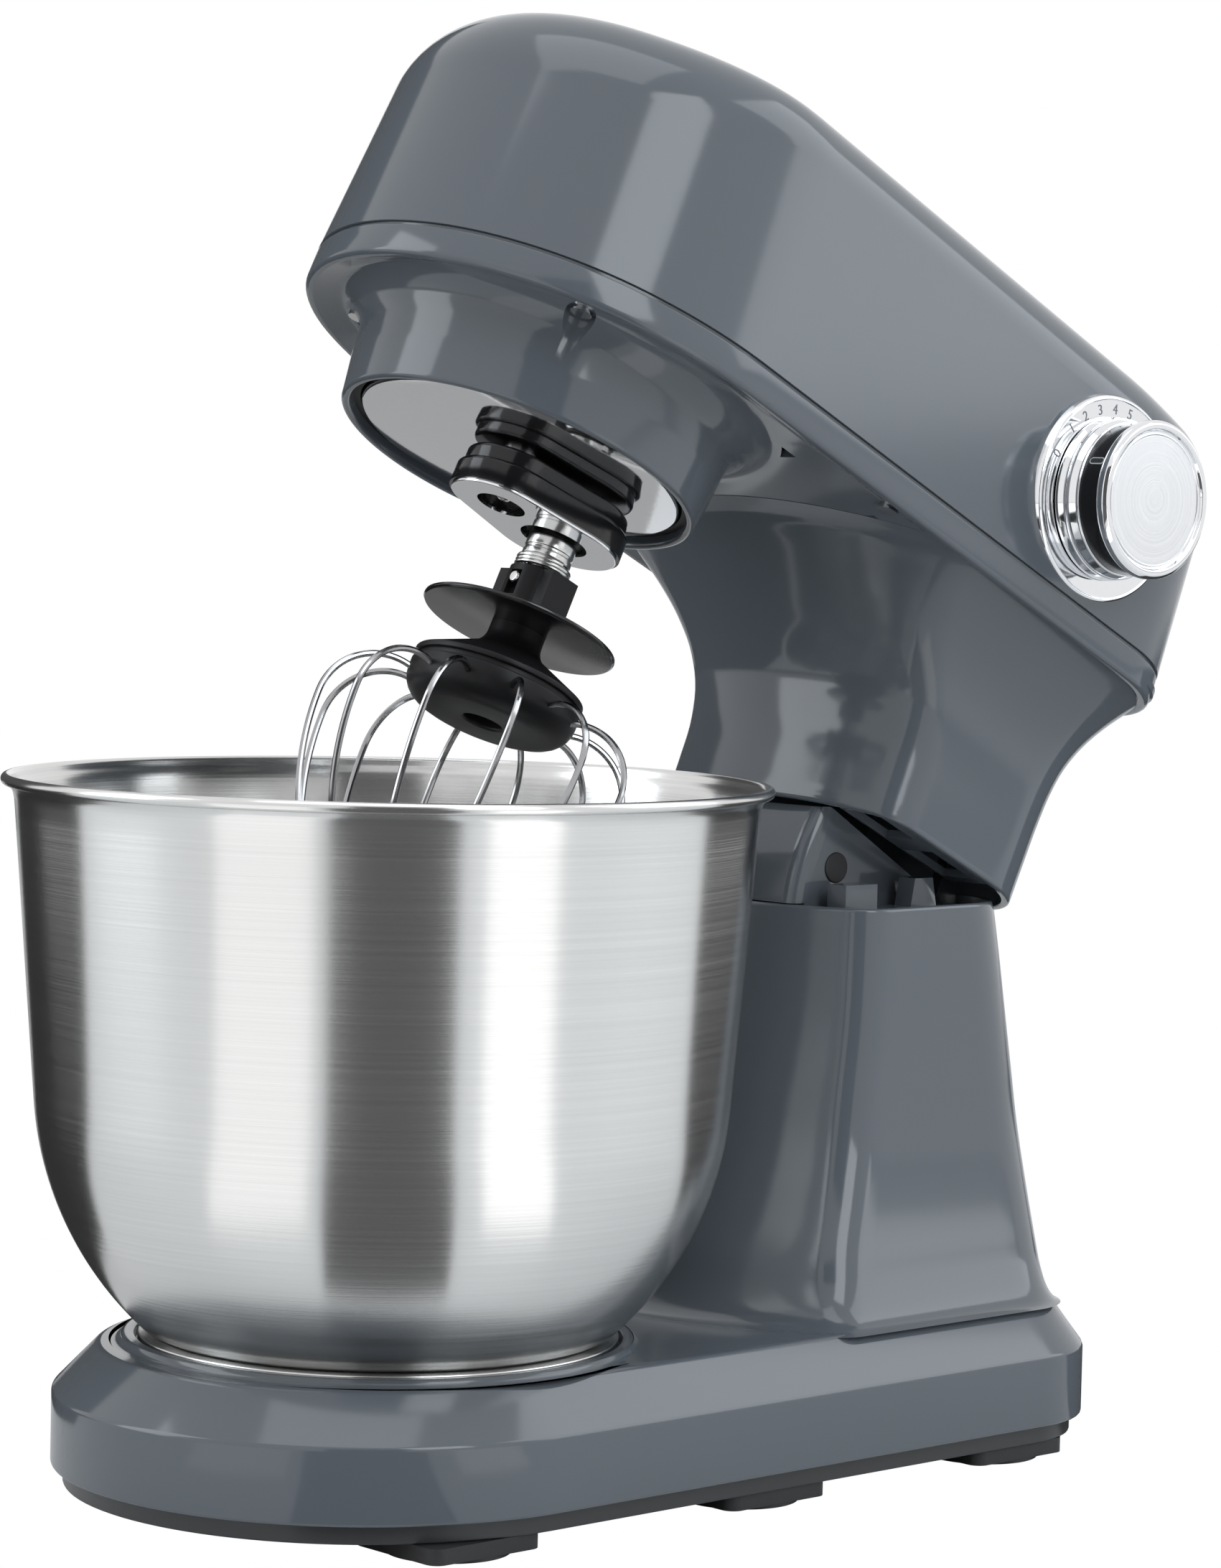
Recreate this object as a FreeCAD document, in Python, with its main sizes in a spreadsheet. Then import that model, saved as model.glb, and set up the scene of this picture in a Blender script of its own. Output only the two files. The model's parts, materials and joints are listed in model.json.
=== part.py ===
import FreeCAD, Part
import math
import operator
import os
import Sketcher

# A tilt-head stand mixer.  +Z is up, -Y is the front and the origin lies on the bowl's axis at the floor.
# Head pieces are drawn with the head closed and then tilted about the hinge pin to the raised rest pose.

V = FreeCAD.Vector

# Driving sizes: millimetres, degrees and counts.
SIZES = {
    # stand
    "base_half": 89.6, "base_front": -97.0, "base_rear": 236.0, "base_corner": 40.0, "band_low": 11.2,
    "band_high": 33.0, "deck_inset": 13.0, "deck_rear_inset": 9.0, "deck_z": 46.5, "stand_wall": 3.0,
    "plate_inset": 3.6, "plate_low": 5.6, "plate_floor": 2.6, "plate_rim": 2.4, "boss_radius": 75.2,
    "boss_top": 48.5, "seat_radius": 71.8, "seat_floor": 45.2, "column_bulge": 115.0,
    "column_front_corner": 15.0, "column_rear_corner": 25.0, "column_start": 38.0, "column_top": 171.0,
    "column_top_half": 52.5, "column_top_front": 137.0, "column_top_rear": 219.8, "column_mid_z": 137.0,
    "column_mid_half": 54.5, "column_mid_front": 133.0, "column_mid_rear": 224.5, "column_low_z": 100.0,
    "column_low_half": 58.0, "column_low_front": 124.0, "column_low_rear": 228.0, "column_foot_z": 63.0,
    "column_foot_half": 67.0, "column_foot_front": 105.0, "column_foot_rear": 228.5,
    "column_root_half": 79.0, "column_root_front": 84.0, "column_root_rear": 227.0, "foot_half_x": 18.0,
    "foot_half_y": 20.0, "foot_corner": 4.0, "foot_x": 66.5, "cup_radius": 16.5, "cup_lip": 1.5,
    "cup_height": 1.0, "foot_front_y": -29.0, "foot_middle_y": 84.5, "foot_back_y": 190.0,
    "screw_radius": 3.4, "screw_head": 2.2, "cut_over": 1.0, "gap": 0.3, "run_gap": 0.05,
    # hinge
    "pivot_y": 210.0, "pivot_z": 160.5, "tilt": 26.34, "pin_radius": 4.0, "pin_half": 32.5,
    "pin_gap": 0.05, "lug_radius": 7.4, "lug_width": 4.0, "lug_root": 14.0, "lug_inner": 27.0,
    "arm_inner": 22.0, "arm_width": 4.0, "arm_front": 202.0, "arm_rear": 210.6, "arm_foot_top": 172.5,
    "deck_top": 169.5, "deck_thick": 3.0, "deck_gap": 0.6, "deck_rear": 201.0, "tower_half": 28.0,
    "tower_front_radius": 70.9, "tower_peak_z": 201.0, "tower_step": 8.0, "tower_rear": 200.0,
    "tower_round": 5.0, "tower_edge": 4.0, "plug_radius": 4.8, "plug_y": 158.5, "plug_z": 181.9,
    "plug_depth": 5.0, "plug_proud": 0.6, "tab_inner": 33.0, "tab_outer": 41.0, "tab_front": 150.0,
    "tab_rear": 164.0, "tab_height": 8.0, "fin_outer": 40.0, "fin_front": 180.0, "fin_rear": 192.0,
    "fin_height": 10.0, "fin_tip": 7.0, "fin_draft": 2.0,
    # bowl
    "rim_radius": 113.0, "rim_z": 212.0, "bead_radius": 1.65, "bowl_wall": 1.0, "rim_roll": 4.2,
    "wall_top_z": 203.5, "wall_taper": 6.8, "wall_low_z": 119.0, "bowl_arc": 100.0,
    "heel_inset": 32.5, "heel_run": 3.5, "bowl_floor_z": 51.2, "ring_radius": 70.8,
    "ring_wall": 4.4, "ring_low": 45.5, "lug_reach": 4.0, "lug_height": 2.2, "lug_arc": 24.0,
    "turret_radius": 61.2, "turret_wall": 6.0, "hook_radius": 65.2, "hook_low": 48.1, "hook_high": 49.8,
    "bayonet_count": 3,
    # head shell
    "mouth_z": 217.0, "head_half": 79.3, "head_front": -79.4, "head_rear": 228.0, "head_bulge": 76.9,
    "head_side_arc": 105.0, "head_rear_corner": 32.0, "head_wall": 2.8, "band_bottom": 28.0,
    "seam": 38.0, "panel_low": 31.5, "panel_high": 34.0, "lip_inset": 1.2, "cove_inset": 9.5,
    "cover_top": 122.0, "cover_draft": 4.8, "cover_round": 22.0, "crown_turn": 22.5, "seam_gap": 0.4,
    "mouth_radius": 56.2, "mouth_bore": 53.5, "mouth_mid_radius": 58.0, "mouth_mid": 13.0,
    "mouth_high_radius": 59.4, "mouth_high": 21.0, "mouth_root_radius": 68.0, "mouth_cove": 12.0,
    "recess_x": 50.0, "recess_front": -38.0, "recess_side_x": 67.5, "recess_side": 85.0,
    "recess_bore": 4.6, "recess_low": 12.0, "recess_floor": 31.8, "neck_bulge": 115.0,
    "neck_front_corner": 15.0, "neck_rear_corner": 25.0, "neck_low": 172.0, "neck_half": 53.5,
    "neck_front": 134.0, "neck_rear": 221.5, "neck_wall": 2.7, "neck_flare_z": 199.0,
    "neck_flare_front": 132.8, "neck_bend_z": 216.0, "neck_bend_half": 54.0, "neck_bend_front": 124.6,
    "neck_bend_rear": 222.0, "neck_root_z": 234.0, "neck_root_half": 62.0, "neck_root_front": 105.0,
    "neck_root_rear": 224.5, "neck_top_half": 73.0, "neck_top_front": 84.0, "neck_top_rear": 225.6,
    "floor_low": 173.5, "floor_thick": 2.5, "floor_gap": 0.3, "floor_rear": 201.0,
    "floor_hole_half": 29.6, "floor_hole_front": 134.0, "floor_hole_rear": 203.0, "slot_inner": 31.0,
    "slot_outer": 43.0, "slot_front": 147.0, "slot_rear": 167.0, "fin_slot_front": 177.0,
    "fin_slot_rear": 197.0,
    # drive
    "orbit": 23.75, "disc_radius": 50.5, "disc_low": 2.0, "disc_thick": 3.0, "disc_rim": 9.0,
    "disc_hub": 12.0, "shaft_radius": 6.0, "bearing_radius": 14.0, "bearing_width": 9.0,
    "bearing_low": 30.0, "bearing_high": 60.0, "case_wall": 3.0, "case_top": 72.0, "case_flange": 66.0,
    "case_bore": 41.0, "ring_low_u": 12.0, "ring_high_u": 24.0, "ring_teeth": 54, "planet_teeth": 16,
    "seal_low": 4.0, "seal_high": 12.0, "seal_inner": 51.2, "arm_radius": 19.0, "arm_top_radius": 17.5,
    "arm_top": 1.7, "arm_step": -5.0, "arm_low": -12.4, "arm_plate_thick": 0.9, "arm_plate_inset": 0.8,
    "recess_radius": 7.0, "recess_depth": 2.0, "collar_recess": 10.6, "output_radius": 5.0,
    "output_low": -39.0, "output_high": 26.0, "collar_radius": 7.75, "collar_high": -13.7,
    "collar_low": -20.0, "shaft_chamfer": 1.0, "gear_low": 13.0, "gear_high": 23.0,
    "drive_pin_radius": 2.0, "drive_pin_u": -29.5, "drive_pin_reach": 9.6, "spring_radius": 8.0,
    "spring_wire": 0.7, "spring_turns": 3.0, "frame_thick": 4.0, "frame_front": 68.0,
    "frame_rear": 218.0, "frame_half": 74.0, "frame_corner": 30.0, "motor_y": 166.0,
    "motor_radius": 35.0, "motor_low": 0.5, "motor_high": 79.0, "motor_wall": 2.0, "motor_flange": 8.0,
    "rotor_radius": 28.0, "rotor_margin": 6.0, "rotor_shaft": 4.0, "rotor_clear": 0.5,
    "rotor_proud": 2.0, "wheel_proud": 5.0, "wheel_radius": 46.0, "pulley_radius": 10.0,
    "belt_low": 85.0, "belt_high": 94.0, "belt_thick": 2.0, "flange_proud": 3.4, "flange_thick": 1.2,
    # tool
    "socket_radius": 9.3, "socket_high": -25.2, "socket_low": -41.95, "slot_depth": 8.0,
    "wing_half": 5.5, "wing_root": 6.0, "wing_reach": 12.0, "wing_low": -37.0, "splash_radius": 30.5,
    "splash_u": -42.8, "splash_thick": 1.6, "splash_edge": 0.6, "hub_neck": 8.5, "hub_neck_low": -50.0,
    "hub_radius": 26.7, "hub_rim": 1.5, "hub_low": -61.0, "groove_depth": 1.2, "groove_low": -62.6,
    "cup_low": -73.8, "cup_round": 8.0, "cup_hole": 6.0, "cup_floor": 4.0, "wire_radius": 1.0,
    "wire_root_u": -66.5, "wire_gap": 0.22, "wire_rise": 12.0, "wire_bend": 40.0, "whisk_radius": 49.0,
    "whisk_tip": -158.0, "wire_count": 6, "wire_step": 2.2,
    # knob
    "knob_y": 160.4, "knob_u": 73.0, "dial_radius": 32.8, "dial_face": 80.0, "dial_back": 76.4,
    "dial_clear": 1.0, "knob_side": 3.0, "knob_step": 1.5, "knob_ring_taper": 1.0, "knob_radius": 29.5,
    "knob_low": 80.4, "knob_high": 96.0, "knob_cap_radius": 24.6, "knob_face": 99.5,
    "knob_disc_radius": 20.7, "knob_disc_face": 98.4, "spindle_radius": 4.0, "spindle_in": 55.0,
    "switch_half": 14.0, "switch_in": 53.0, "switch_out": 70.0, "bush_radius": 7.0,
    # small parts
    "button_radius": 8.0, "button_y": 178.0, "button_z": 128.0, "button_face": 57.5, "button_in": 44.0,
    "button_flange": 10.0, "button_rim": 3.0, "gland_radius": 7.0, "gland_x": 40.0, "gland_z": 22.0,
    "gland_hole": 3.4, "gland_reach": 6.0, "gland_rim": 2.0, "board_half": 30.0, "board_thick": 1.6,
    "board_front": 96.0, "board_rear": 114.0, "board_lift": 6.0, "post_x": 24.0, "post_radius": 2.5,
}

DOC = FreeCAD.newDocument("stand_mixer")


class Size:
    """A number that carries the spreadsheet expression it comes from."""

    def __init__(self, number, text=None):
        self.number = float(number)
        self.text = text or "(%.9g)" % self.number

    def __float__(self):
        return self.number

    def __add__(self, other):
        return joined(self, other, "+")

    def __radd__(self, other):
        return joined(other, self, "+")

    def __sub__(self, other):
        return joined(self, other, "-")

    def __rsub__(self, other):
        return joined(other, self, "-")

    def __mul__(self, other):
        return joined(self, other, "*")

    def __rmul__(self, other):
        return joined(other, self, "*")

    def __truediv__(self, other):
        return joined(self, other, "/")

    def __rtruediv__(self, other):
        return joined(other, self, "/")

    def __neg__(self):
        return joined(0, self, "-")


OPERATORS = {"+": operator.add, "-": operator.sub, "*": operator.mul, "/": operator.truediv}


def sized(value):
    return value if isinstance(value, Size) else Size(value)


def joined(first, second, sign):
    first, second = sized(first), sized(second)
    number = OPERATORS[sign](first.number, second.number)
    return Size(number, "(%s %s %s)" % (first.text, sign, second.text))


def root(value):
    return Size(math.sqrt(value.number), "sqrt(%s)" % value.text)


def sine(angle):
    angle = sized(angle)
    return Size(math.sin(math.radians(angle.number)), "sin(%s)" % angle.text)


def cosine(angle):
    angle = sized(angle)
    return Size(math.cos(math.radians(angle.number)), "cos(%s)" % angle.text)


class Sizes:
    """The spreadsheet of driving sizes, read as attributes."""

    def __init__(self):
        self.sheet = DOC.addObject("Spreadsheet::Sheet", "sizes")
        for row, (name, value) in enumerate(SIZES.items(), 1):
            self.sheet.set("A%d" % row, name)
            self.sheet.set("B%d" % row, str(value))
            self.sheet.setAlias("B%d" % row, name)
        DOC.recompute()

    def __getattr__(self, name):
        return Size(self.sheet.get(name), "sizes." + name)


S = Sizes()
HEAD_TILT = FreeCAD.Placement(V(), FreeCAD.Rotation(V(1, 0, 0), -float(S.tilt)),
                              V(0, float(S.pivot_y), float(S.pivot_z)))
NODES = []
CROWN_STEPS = 4
WIRE_SIDES = 8
SPRING_SIDES = 6
# Tooth half widths and heights inside the rim, at the root, the pitch circle and the tip: in modules.
PLANET_SIDES, PLANET_HEIGHTS = (0.76, 0.76, 0.64, 0.24), (-1.6, -1.28, 0, 0.96)
RING_SIDES, RING_HEIGHTS = (1.28, 1.28, 0.69, 0.34), (1.6, 1.24, 0, -0.92)
TOUCH = 0.01


# ---- sketches and features ----

def bind(thing, attribute, value):
    if isinstance(value, Size):
        thing.setExpression(attribute, value.text)


def node(name, in_head=False):
    body = DOC.addObject("PartDesign::Body", name)
    body.Label = name
    body.Placement = HEAD_TILT if in_head else FreeCAD.Placement()
    NODES.append(body)
    return body


def plane(body, role):
    return next(item for item in body.Origin.OriginFeatures if item.Role == role)


def arc(start, end, radius):
    """The minor arc from start to end: a positive radius turns counter-clockwise."""
    half = (end - start) * 0.5
    rise = math.sqrt(max(radius ** 2 - half.Length ** 2, 0))
    side = V(-half.y, half.x, 0).normalize() * math.copysign(rise, radius)
    centre = start + half + side
    angles = [math.atan2(point.y - centre.y, point.x - centre.x) for point in (start, end)]
    if radius < 0:
        angles.reverse()
    return Part.ArcOfCircle(Part.Circle(centre, V(0, 0, 1), abs(radius)), *angles)


def constrain(sketch, kind, *numbers):
    value = numbers[-1]
    index = sketch.addConstraint(Sketcher.Constraint(kind, *numbers[:-1], float(value)))
    bind(sketch, "Constraints[%d]" % index, value)


def outline(body, name, role, points, offset=0):
    """A closed sketch through points; a third number is the radius of the arc to the next point."""
    sketch = body.newObject("Sketcher::SketchObject", name)
    sketch.AttachmentSupport = [(plane(body, role), "")]
    sketch.MapMode = "FlatFace"
    sketch.AttachmentOffset = FreeCAD.Placement(V(0, 0, float(offset)), FreeCAD.Rotation())
    bind(sketch, "AttachmentOffset.Base.z", offset)
    add_loop(sketch, points)
    return sketch


def add_loop(sketch, points):
    first = sketch.GeometryCount
    places = [V(float(point[0]), float(point[1]), 0) for point in points]
    ends = []
    for index, point in enumerate(points):
        start, end = places[index], places[(index + 1) % len(points)]
        if len(point) > 2:
            sketch.addGeometry(arc(start, end, float(point[2])), False)
        else:
            sketch.addGeometry(Part.LineSegment(start, end), False)
        ends.append((2, 1) if len(point) > 2 and float(point[2]) < 0 else (1, 2))
    for index, point in enumerate(points):
        line, following = first + index, (index + 1) % len(points)
        sketch.addConstraint(Sketcher.Constraint("Coincident", line, ends[index][1],
                                                 first + following, ends[following][0]))
        constrain(sketch, "DistanceX", -1, 1, line, ends[index][0], point[0])
        constrain(sketch, "DistanceY", -1, 1, line, ends[index][0], point[1])
        if len(point) > 2:
            reach = point[2] if float(point[2]) > 0 else -sized(point[2])
            constrain(sketch, "Radius", line, reach)


def circles(body, name, role, discs, offset=0):
    """A sketch of circles, each given as x, y and radius."""
    sketch = outline(body, name, role, [], offset)
    for across, up, radius in discs:
        add_circle(sketch, across, up, radius)
    return sketch


def add_circle(sketch, across, up, radius):
    place = V(float(across), float(up), 0)
    index = sketch.addGeometry(Part.Circle(place, V(0, 0, 1), float(radius)), False)
    constrain(sketch, "DistanceX", -1, 1, index, 3, across)
    constrain(sketch, "DistanceY", -1, 1, index, 3, up)
    constrain(sketch, "Radius", index, radius)


def feature(body, kind, sketch, **values):
    item = body.newObject("PartDesign::" + kind, sketch.Name + "_" + kind.lower())
    item.Profile = sketch
    for name, value in values.items():
        setattr(item, name, float(value) if isinstance(value, Size) else value)
        bind(item, name, value)
    return item


def pad(body, sketch, length, **values):
    return feature(body, "Pad", sketch, Length=length, **values)


def cut(body, sketch, length, **values):
    """A pocket that runs along the sketch's own direction."""
    return feature(body, "Pocket", sketch, Length=length, Reversed=True, **values)


def revolve(body, sketch, kind="Revolution", axis="V_Axis", angle=360):
    return feature(body, kind, sketch, ReferenceAxis=(sketch, [axis]), Angle=angle)


def turned(body, name, points, axis_y=0, kind="Revolution"):
    """A solid turned about a vertical axis at axis_y; points hold radius and height."""
    sketch = outline(body, name, "XZ_Plane", points, -sized(axis_y))
    return revolve(body, sketch, kind)


def turned_knob(body, name, points, kind="Revolution"):
    """A solid turned about the knob's axis; points hold distance along X and radius."""
    raised = [(point[0], S.mouth_z + S.knob_u + point[1]) + tuple(point[2:]) for point in points]
    sketch = outline(body, name, "XZ_Plane", raised, -S.knob_y)
    axis = sketch.addGeometry(Part.LineSegment(V(0, 1, 0), V(1, 1, 0)), True)
    sketch.addConstraint(Sketcher.Constraint("Horizontal", axis))
    constrain(sketch, "DistanceX", -1, 1, axis, 1, 0)
    constrain(sketch, "DistanceY", -1, 1, axis, 1, S.mouth_z + S.knob_u)
    constrain(sketch, "DistanceX", -1, 1, axis, 2, 1)
    return revolve(body, sketch, kind, "Axis0")


def loft(body, name, role, sections, kind="AdditiveLoft"):
    """A loft through closed outlines, each given with its offset from the plane."""
    sketches = [outline(body, "%s_%d" % (name, index), role, points, offset)
                for index, (offset, points) in enumerate(sections)]
    item = feature(body, kind, sketches[0])
    item.Sections = sketches[1:]
    return item


def round_arcs(body, reach, radius):
    """Round the edges of the last feature that are arcs of one radius."""
    DOC.recompute()
    base = body.Tip
    arcs = ["Edge%d" % (index + 1) for index, edge in enumerate(base.Shape.Edges)
            if isinstance(edge.Curve, Part.Circle) and abs(edge.Curve.Radius - float(reach)) < TOUCH]
    item = body.newObject("PartDesign::Fillet", base.Name + "_round")
    item.Base = (base, arcs)
    item.Radius = float(radius)
    bind(item, "Radius", radius)


# ---- plan outlines ----

def plan(half, front, rear, bulge, corner, rear_corner, inset=0):
    """Bulged front, rounded front corners, straight sides and a flat rear with rounded corners."""
    half, front, rear = half - inset, front + inset, rear - inset
    bulge, corner, rear_corner = bulge - inset, corner - inset, rear_corner - inset
    middle = front + bulge
    drop = root((bulge - corner) * (bulge - corner) - (half - corner) * (half - corner))
    side = middle - drop if float(bulge) > float(corner) else middle + drop
    share = bulge / (bulge - corner)
    join_x, join_y = (half - corner) * share, middle + (side - middle) * share
    return [(join_x, join_y, corner), (half, side), (half, rear - rear_corner, rear_corner),
            (half - rear_corner, rear), (-(half - rear_corner), rear, rear_corner),
            (-half, rear - rear_corner), (-half, side, corner), (-join_x, join_y, bulge)]


def base_plan(inset=0, rear_inset=None):
    """Half-round front, straight sides and rounded rear corners."""
    half, rear = S.base_half - inset, S.base_rear - (inset if rear_inset is None else rear_inset)
    front, corner = S.base_front + inset, S.base_corner - inset
    return [(0, front, half), (half, front + half), (half, rear - corner, corner), (half - corner, rear),
            (-(half - corner), rear, corner), (-half, rear - corner), (-half, front + half, half)]


def column_plan(half, front, rear, inset=0):
    return plan(half, front, rear, S.column_bulge, S.column_front_corner, S.column_rear_corner, inset)


def head_plan(inset=0):
    return plan(S.head_half, S.head_front, S.head_rear, S.head_bulge, S.head_side_arc,
                S.head_rear_corner, inset)


def neck_plan(half, front, rear, inset=0):
    return plan(half, front, rear, S.neck_bulge, S.neck_front_corner, S.neck_rear_corner, inset)


def box(low_x, high_x, low_y, high_y):
    return [(low_x, low_y), (high_x, low_y), (high_x, high_y), (low_x, high_y)]


def rounded_box(half_x, half_y, corner):
    return [(half_x - corner, -half_y, corner), (half_x, corner - half_y),
            (half_x, half_y - corner, corner), (half_x - corner, half_y),
            (corner - half_x, half_y, corner), (-half_x, half_y - corner),
            (-half_x, corner - half_y, corner), (corner - half_x, -half_y)]


# ---- stand ----

def column_sections(inset):
    levels = [(S.column_start + inset, S.column_root_half, S.column_root_front, S.column_root_rear),
              (S.column_foot_z, S.column_foot_half, S.column_foot_front, S.column_foot_rear),
              (S.column_low_z, S.column_low_half, S.column_low_front, S.column_low_rear),
              (S.column_mid_z, S.column_mid_half, S.column_mid_front, S.column_mid_rear),
              (S.column_top, S.column_top_half, S.column_top_front, S.column_top_rear)]
    return [(height, column_plan(half, front, rear, inset)) for height, half, front, rear in levels]


def make_base_shell():
    body = node("base_shell")
    pad(body, outline(body, "base_band", "XY_Plane", base_plan(), S.band_low), S.band_high - S.band_low)
    loft(body, "base_slope", "XY_Plane", [(S.band_high, base_plan()),
                                          (S.deck_z, base_plan(S.deck_inset, S.deck_rear_inset))])
    pad(body, circles(body, "base_boss", "XY_Plane", [(0, 0, S.boss_radius)], S.band_high),
        S.boss_top - S.band_high)
    loft(body, "base_column", "XY_Plane", column_sections(Size(0)))
    cut(body, outline(body, "base_hollow", "XY_Plane", base_plan(S.stand_wall), S.band_low),
        S.band_high - S.band_low - S.stand_wall)
    loft(body, "base_slope_hollow", "XY_Plane",
         [(S.band_high - S.stand_wall, base_plan(S.stand_wall)),
          (S.seat_floor - S.stand_wall, base_plan(S.deck_inset, S.deck_inset))], "SubtractiveLoft")
    loft(body, "column_hollow", "XY_Plane", column_sections(S.stand_wall), "SubtractiveLoft")
    cut(body, circles(body, "bowl_seat", "XY_Plane", [(0, 0, S.seat_radius)], S.seat_floor),
        S.boss_top - S.seat_floor + S.cut_over)
    button_hole = circles(body, "button_hole", "YZ_Plane",
                          [(S.button_y, S.button_z, S.button_radius + S.gap)], -S.column_foot_half)
    cut(body, button_hole, S.column_foot_half - S.button_in)
    gland_hole = circles(body, "gland_hole", "XZ_Plane",
                         [(S.gland_x, S.gland_z, S.gland_radius)], -S.base_rear - S.cut_over)
    cut(body, gland_hole, S.stand_wall + S.cut_over * 2)


def make_bottom_plate():
    body = node("bottom_plate")
    gap = S.plate_inset + S.plate_rim
    pad(body, outline(body, "plate_plan", "XY_Plane", base_plan(S.plate_inset), S.plate_low),
        S.band_low - S.plate_low)
    cut(body, outline(body, "plate_hollow", "XY_Plane", base_plan(gap), S.plate_low + S.plate_floor),
        S.band_low - S.plate_low)
    cut(body, circles(body, "screw_seats", "XY_Plane",
                      [(across, along, S.screw_radius) for across, along in screw_places()], S.plate_low),
        S.screw_head)


def screw_places():
    rows = ((S.foot_front_y + S.foot_middle_y) / 2, (S.foot_middle_y + S.foot_back_y) / 2)
    return [(S.foot_x * side, row) for row in rows for side in (-1, 1)]


def foot_places():
    return [(side, row) for row in (S.foot_front_y, S.foot_middle_y, S.foot_back_y)
            for side in (-S.foot_x, S.foot_x)]


def make_feet():
    """Each foot is a rubber block with a suction cup's lip below it."""
    for number, (across, along) in enumerate(foot_places(), 1):
        body = node("suction_foot_%d" % number)
        block = rounded_box(S.foot_half_x, S.foot_half_y, S.foot_corner)
        pad(body, outline(body, "foot_block_%d" % number, "XY_Plane", block, S.cup_height),
            S.plate_low - S.cup_height)
        ring = circles(body, "foot_lip_%d" % number, "XY_Plane", [(0, 0, S.cup_radius + S.cup_lip)])
        add_circle(ring, 0, 0, S.cup_radius - S.cup_lip)
        pad(body, ring, S.cup_height)
        body.Placement = FreeCAD.Placement(V(float(across), float(along), 0), FreeCAD.Rotation())
        body.setExpression("Placement.Base.x", across.text)
        body.setExpression("Placement.Base.y", along.text)


def make_lock_ring():
    body = node("bowl_lock_ring")
    low, inner = S.seat_floor, S.turret_radius - S.turret_wall
    turned(body, "lock_profile", [(inner, low), (S.turret_radius, low), (S.turret_radius, S.hook_high),
                                  (inner, S.hook_high)])
    hooks = outline(body, "lock_hooks", "XY_Plane",
                    sector(S.turret_radius - S.cut_over, S.hook_radius, S.lug_arc), S.hook_low)
    repeat(body, pad(body, hooks, S.hook_high - S.hook_low), S.bayonet_count)


def sector(inner, outer, angle, start=0):
    """A ring sector centred on the start angle."""
    low, high = start - angle / 2, start + angle / 2
    return [(inner * cosine(low), inner * sine(low)), (outer * cosine(low), outer * sine(low), outer),
            (outer * cosine(high), outer * sine(high)), (inner * cosine(high), inner * sine(high), -inner)]


def repeat(body, item, count, role="Z_Axis"):
    DOC.recompute()
    pattern = body.newObject("PartDesign::PolarPattern", item.Name + "_pattern")
    pattern.Originals = [item]
    pattern.Axis = (plane(body, role), [""])
    pattern.Angle = 360
    pattern.Occurrences = int(float(count))
    bind(pattern, "Occurrences", count)
    body.Tip = pattern
    return pattern


def make_hinge_deck():
    body = node("hinge_deck")
    deck_plan = column_plan(S.column_top_half, S.column_top_front, S.column_top_rear,
                            S.stand_wall + S.deck_gap)
    low = S.deck_top - S.deck_thick
    pad(body, outline(body, "deck_plan", "XY_Plane", deck_plan, low), S.deck_thick)
    rear = box(-S.column_mid_half, S.column_mid_half, S.deck_rear, S.column_top_rear)
    cut(body, outline(body, "deck_rear_cut", "XY_Plane", rear, low), S.deck_thick)
    sill, back = S.column_top + S.gap, S.column_top_front + S.tower_step
    foot = S.deck_top - S.cut_over
    tower = [(tower_front(sill), sill), (back, sill), (back, foot), (S.tower_rear, foot),
             (S.tower_rear, S.deck_top + S.tower_edge),
             (tower_front(S.tower_peak_z) + S.tower_edge, S.tower_peak_z),
             (tower_front(S.tower_peak_z), S.tower_peak_z, S.tower_front_radius)]
    pad(body, outline(body, "tower_side", "YZ_Plane", tower, -S.tower_half), S.tower_half * 2)
    round_arcs(body, S.tower_front_radius, S.tower_round)
    for side in (-1, 1):
        make_deck_side(body, side)


def tower_front(height):
    """The tower's front face is round about the hinge pin, so that the neck clears it."""
    rise = height - S.pivot_z
    return S.pivot_y - root(S.tower_front_radius * S.tower_front_radius - rise * rise)


def make_deck_side(body, side):
    name = "left" if side < 0 else "right"
    low = S.deck_top - S.cut_over
    tab = box(S.tab_inner * side, S.tab_outer * side, S.tab_front, S.tab_rear)
    pad(body, outline(body, name + "_tab", "XY_Plane", tab, low), S.tab_height + S.cut_over)
    fin_base = box(S.tab_inner * side, S.fin_outer * side, S.fin_front, S.fin_rear)
    fin_top = box(S.tab_inner * side, (S.tab_inner + S.fin_tip) * side, 
                  S.fin_front + S.fin_draft, S.fin_rear - S.fin_draft)
    loft(body, name + "_fin", "XY_Plane", [(low, fin_base), (low + S.fin_height, fin_top)])
    lug = [(S.deck_rear - S.lug_root, low), (S.pivot_y, S.pivot_z + S.lug_radius, -S.lug_radius),
           (S.pivot_y + S.lug_radius, S.pivot_z, -S.lug_radius), (S.pivot_y, S.pivot_z - S.lug_radius)]
    start = S.lug_inner if side > 0 else -S.lug_inner - S.lug_width
    pad(body, outline(body, name + "_lug", "YZ_Plane", lug, start), S.lug_width)
    hole = circles(body, name + "_lug_hole", "YZ_Plane", [(S.pivot_y, S.pivot_z, S.pin_radius)], start)
    cut(body, hole, S.lug_width)
    plug = circles(body, name + "_plug_hole", "YZ_Plane", [(S.plug_y, S.plug_z, S.plug_radius)],
                   S.tower_half - S.plug_depth if side > 0 else -S.tower_half)
    cut(body, plug, S.plug_depth)


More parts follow.
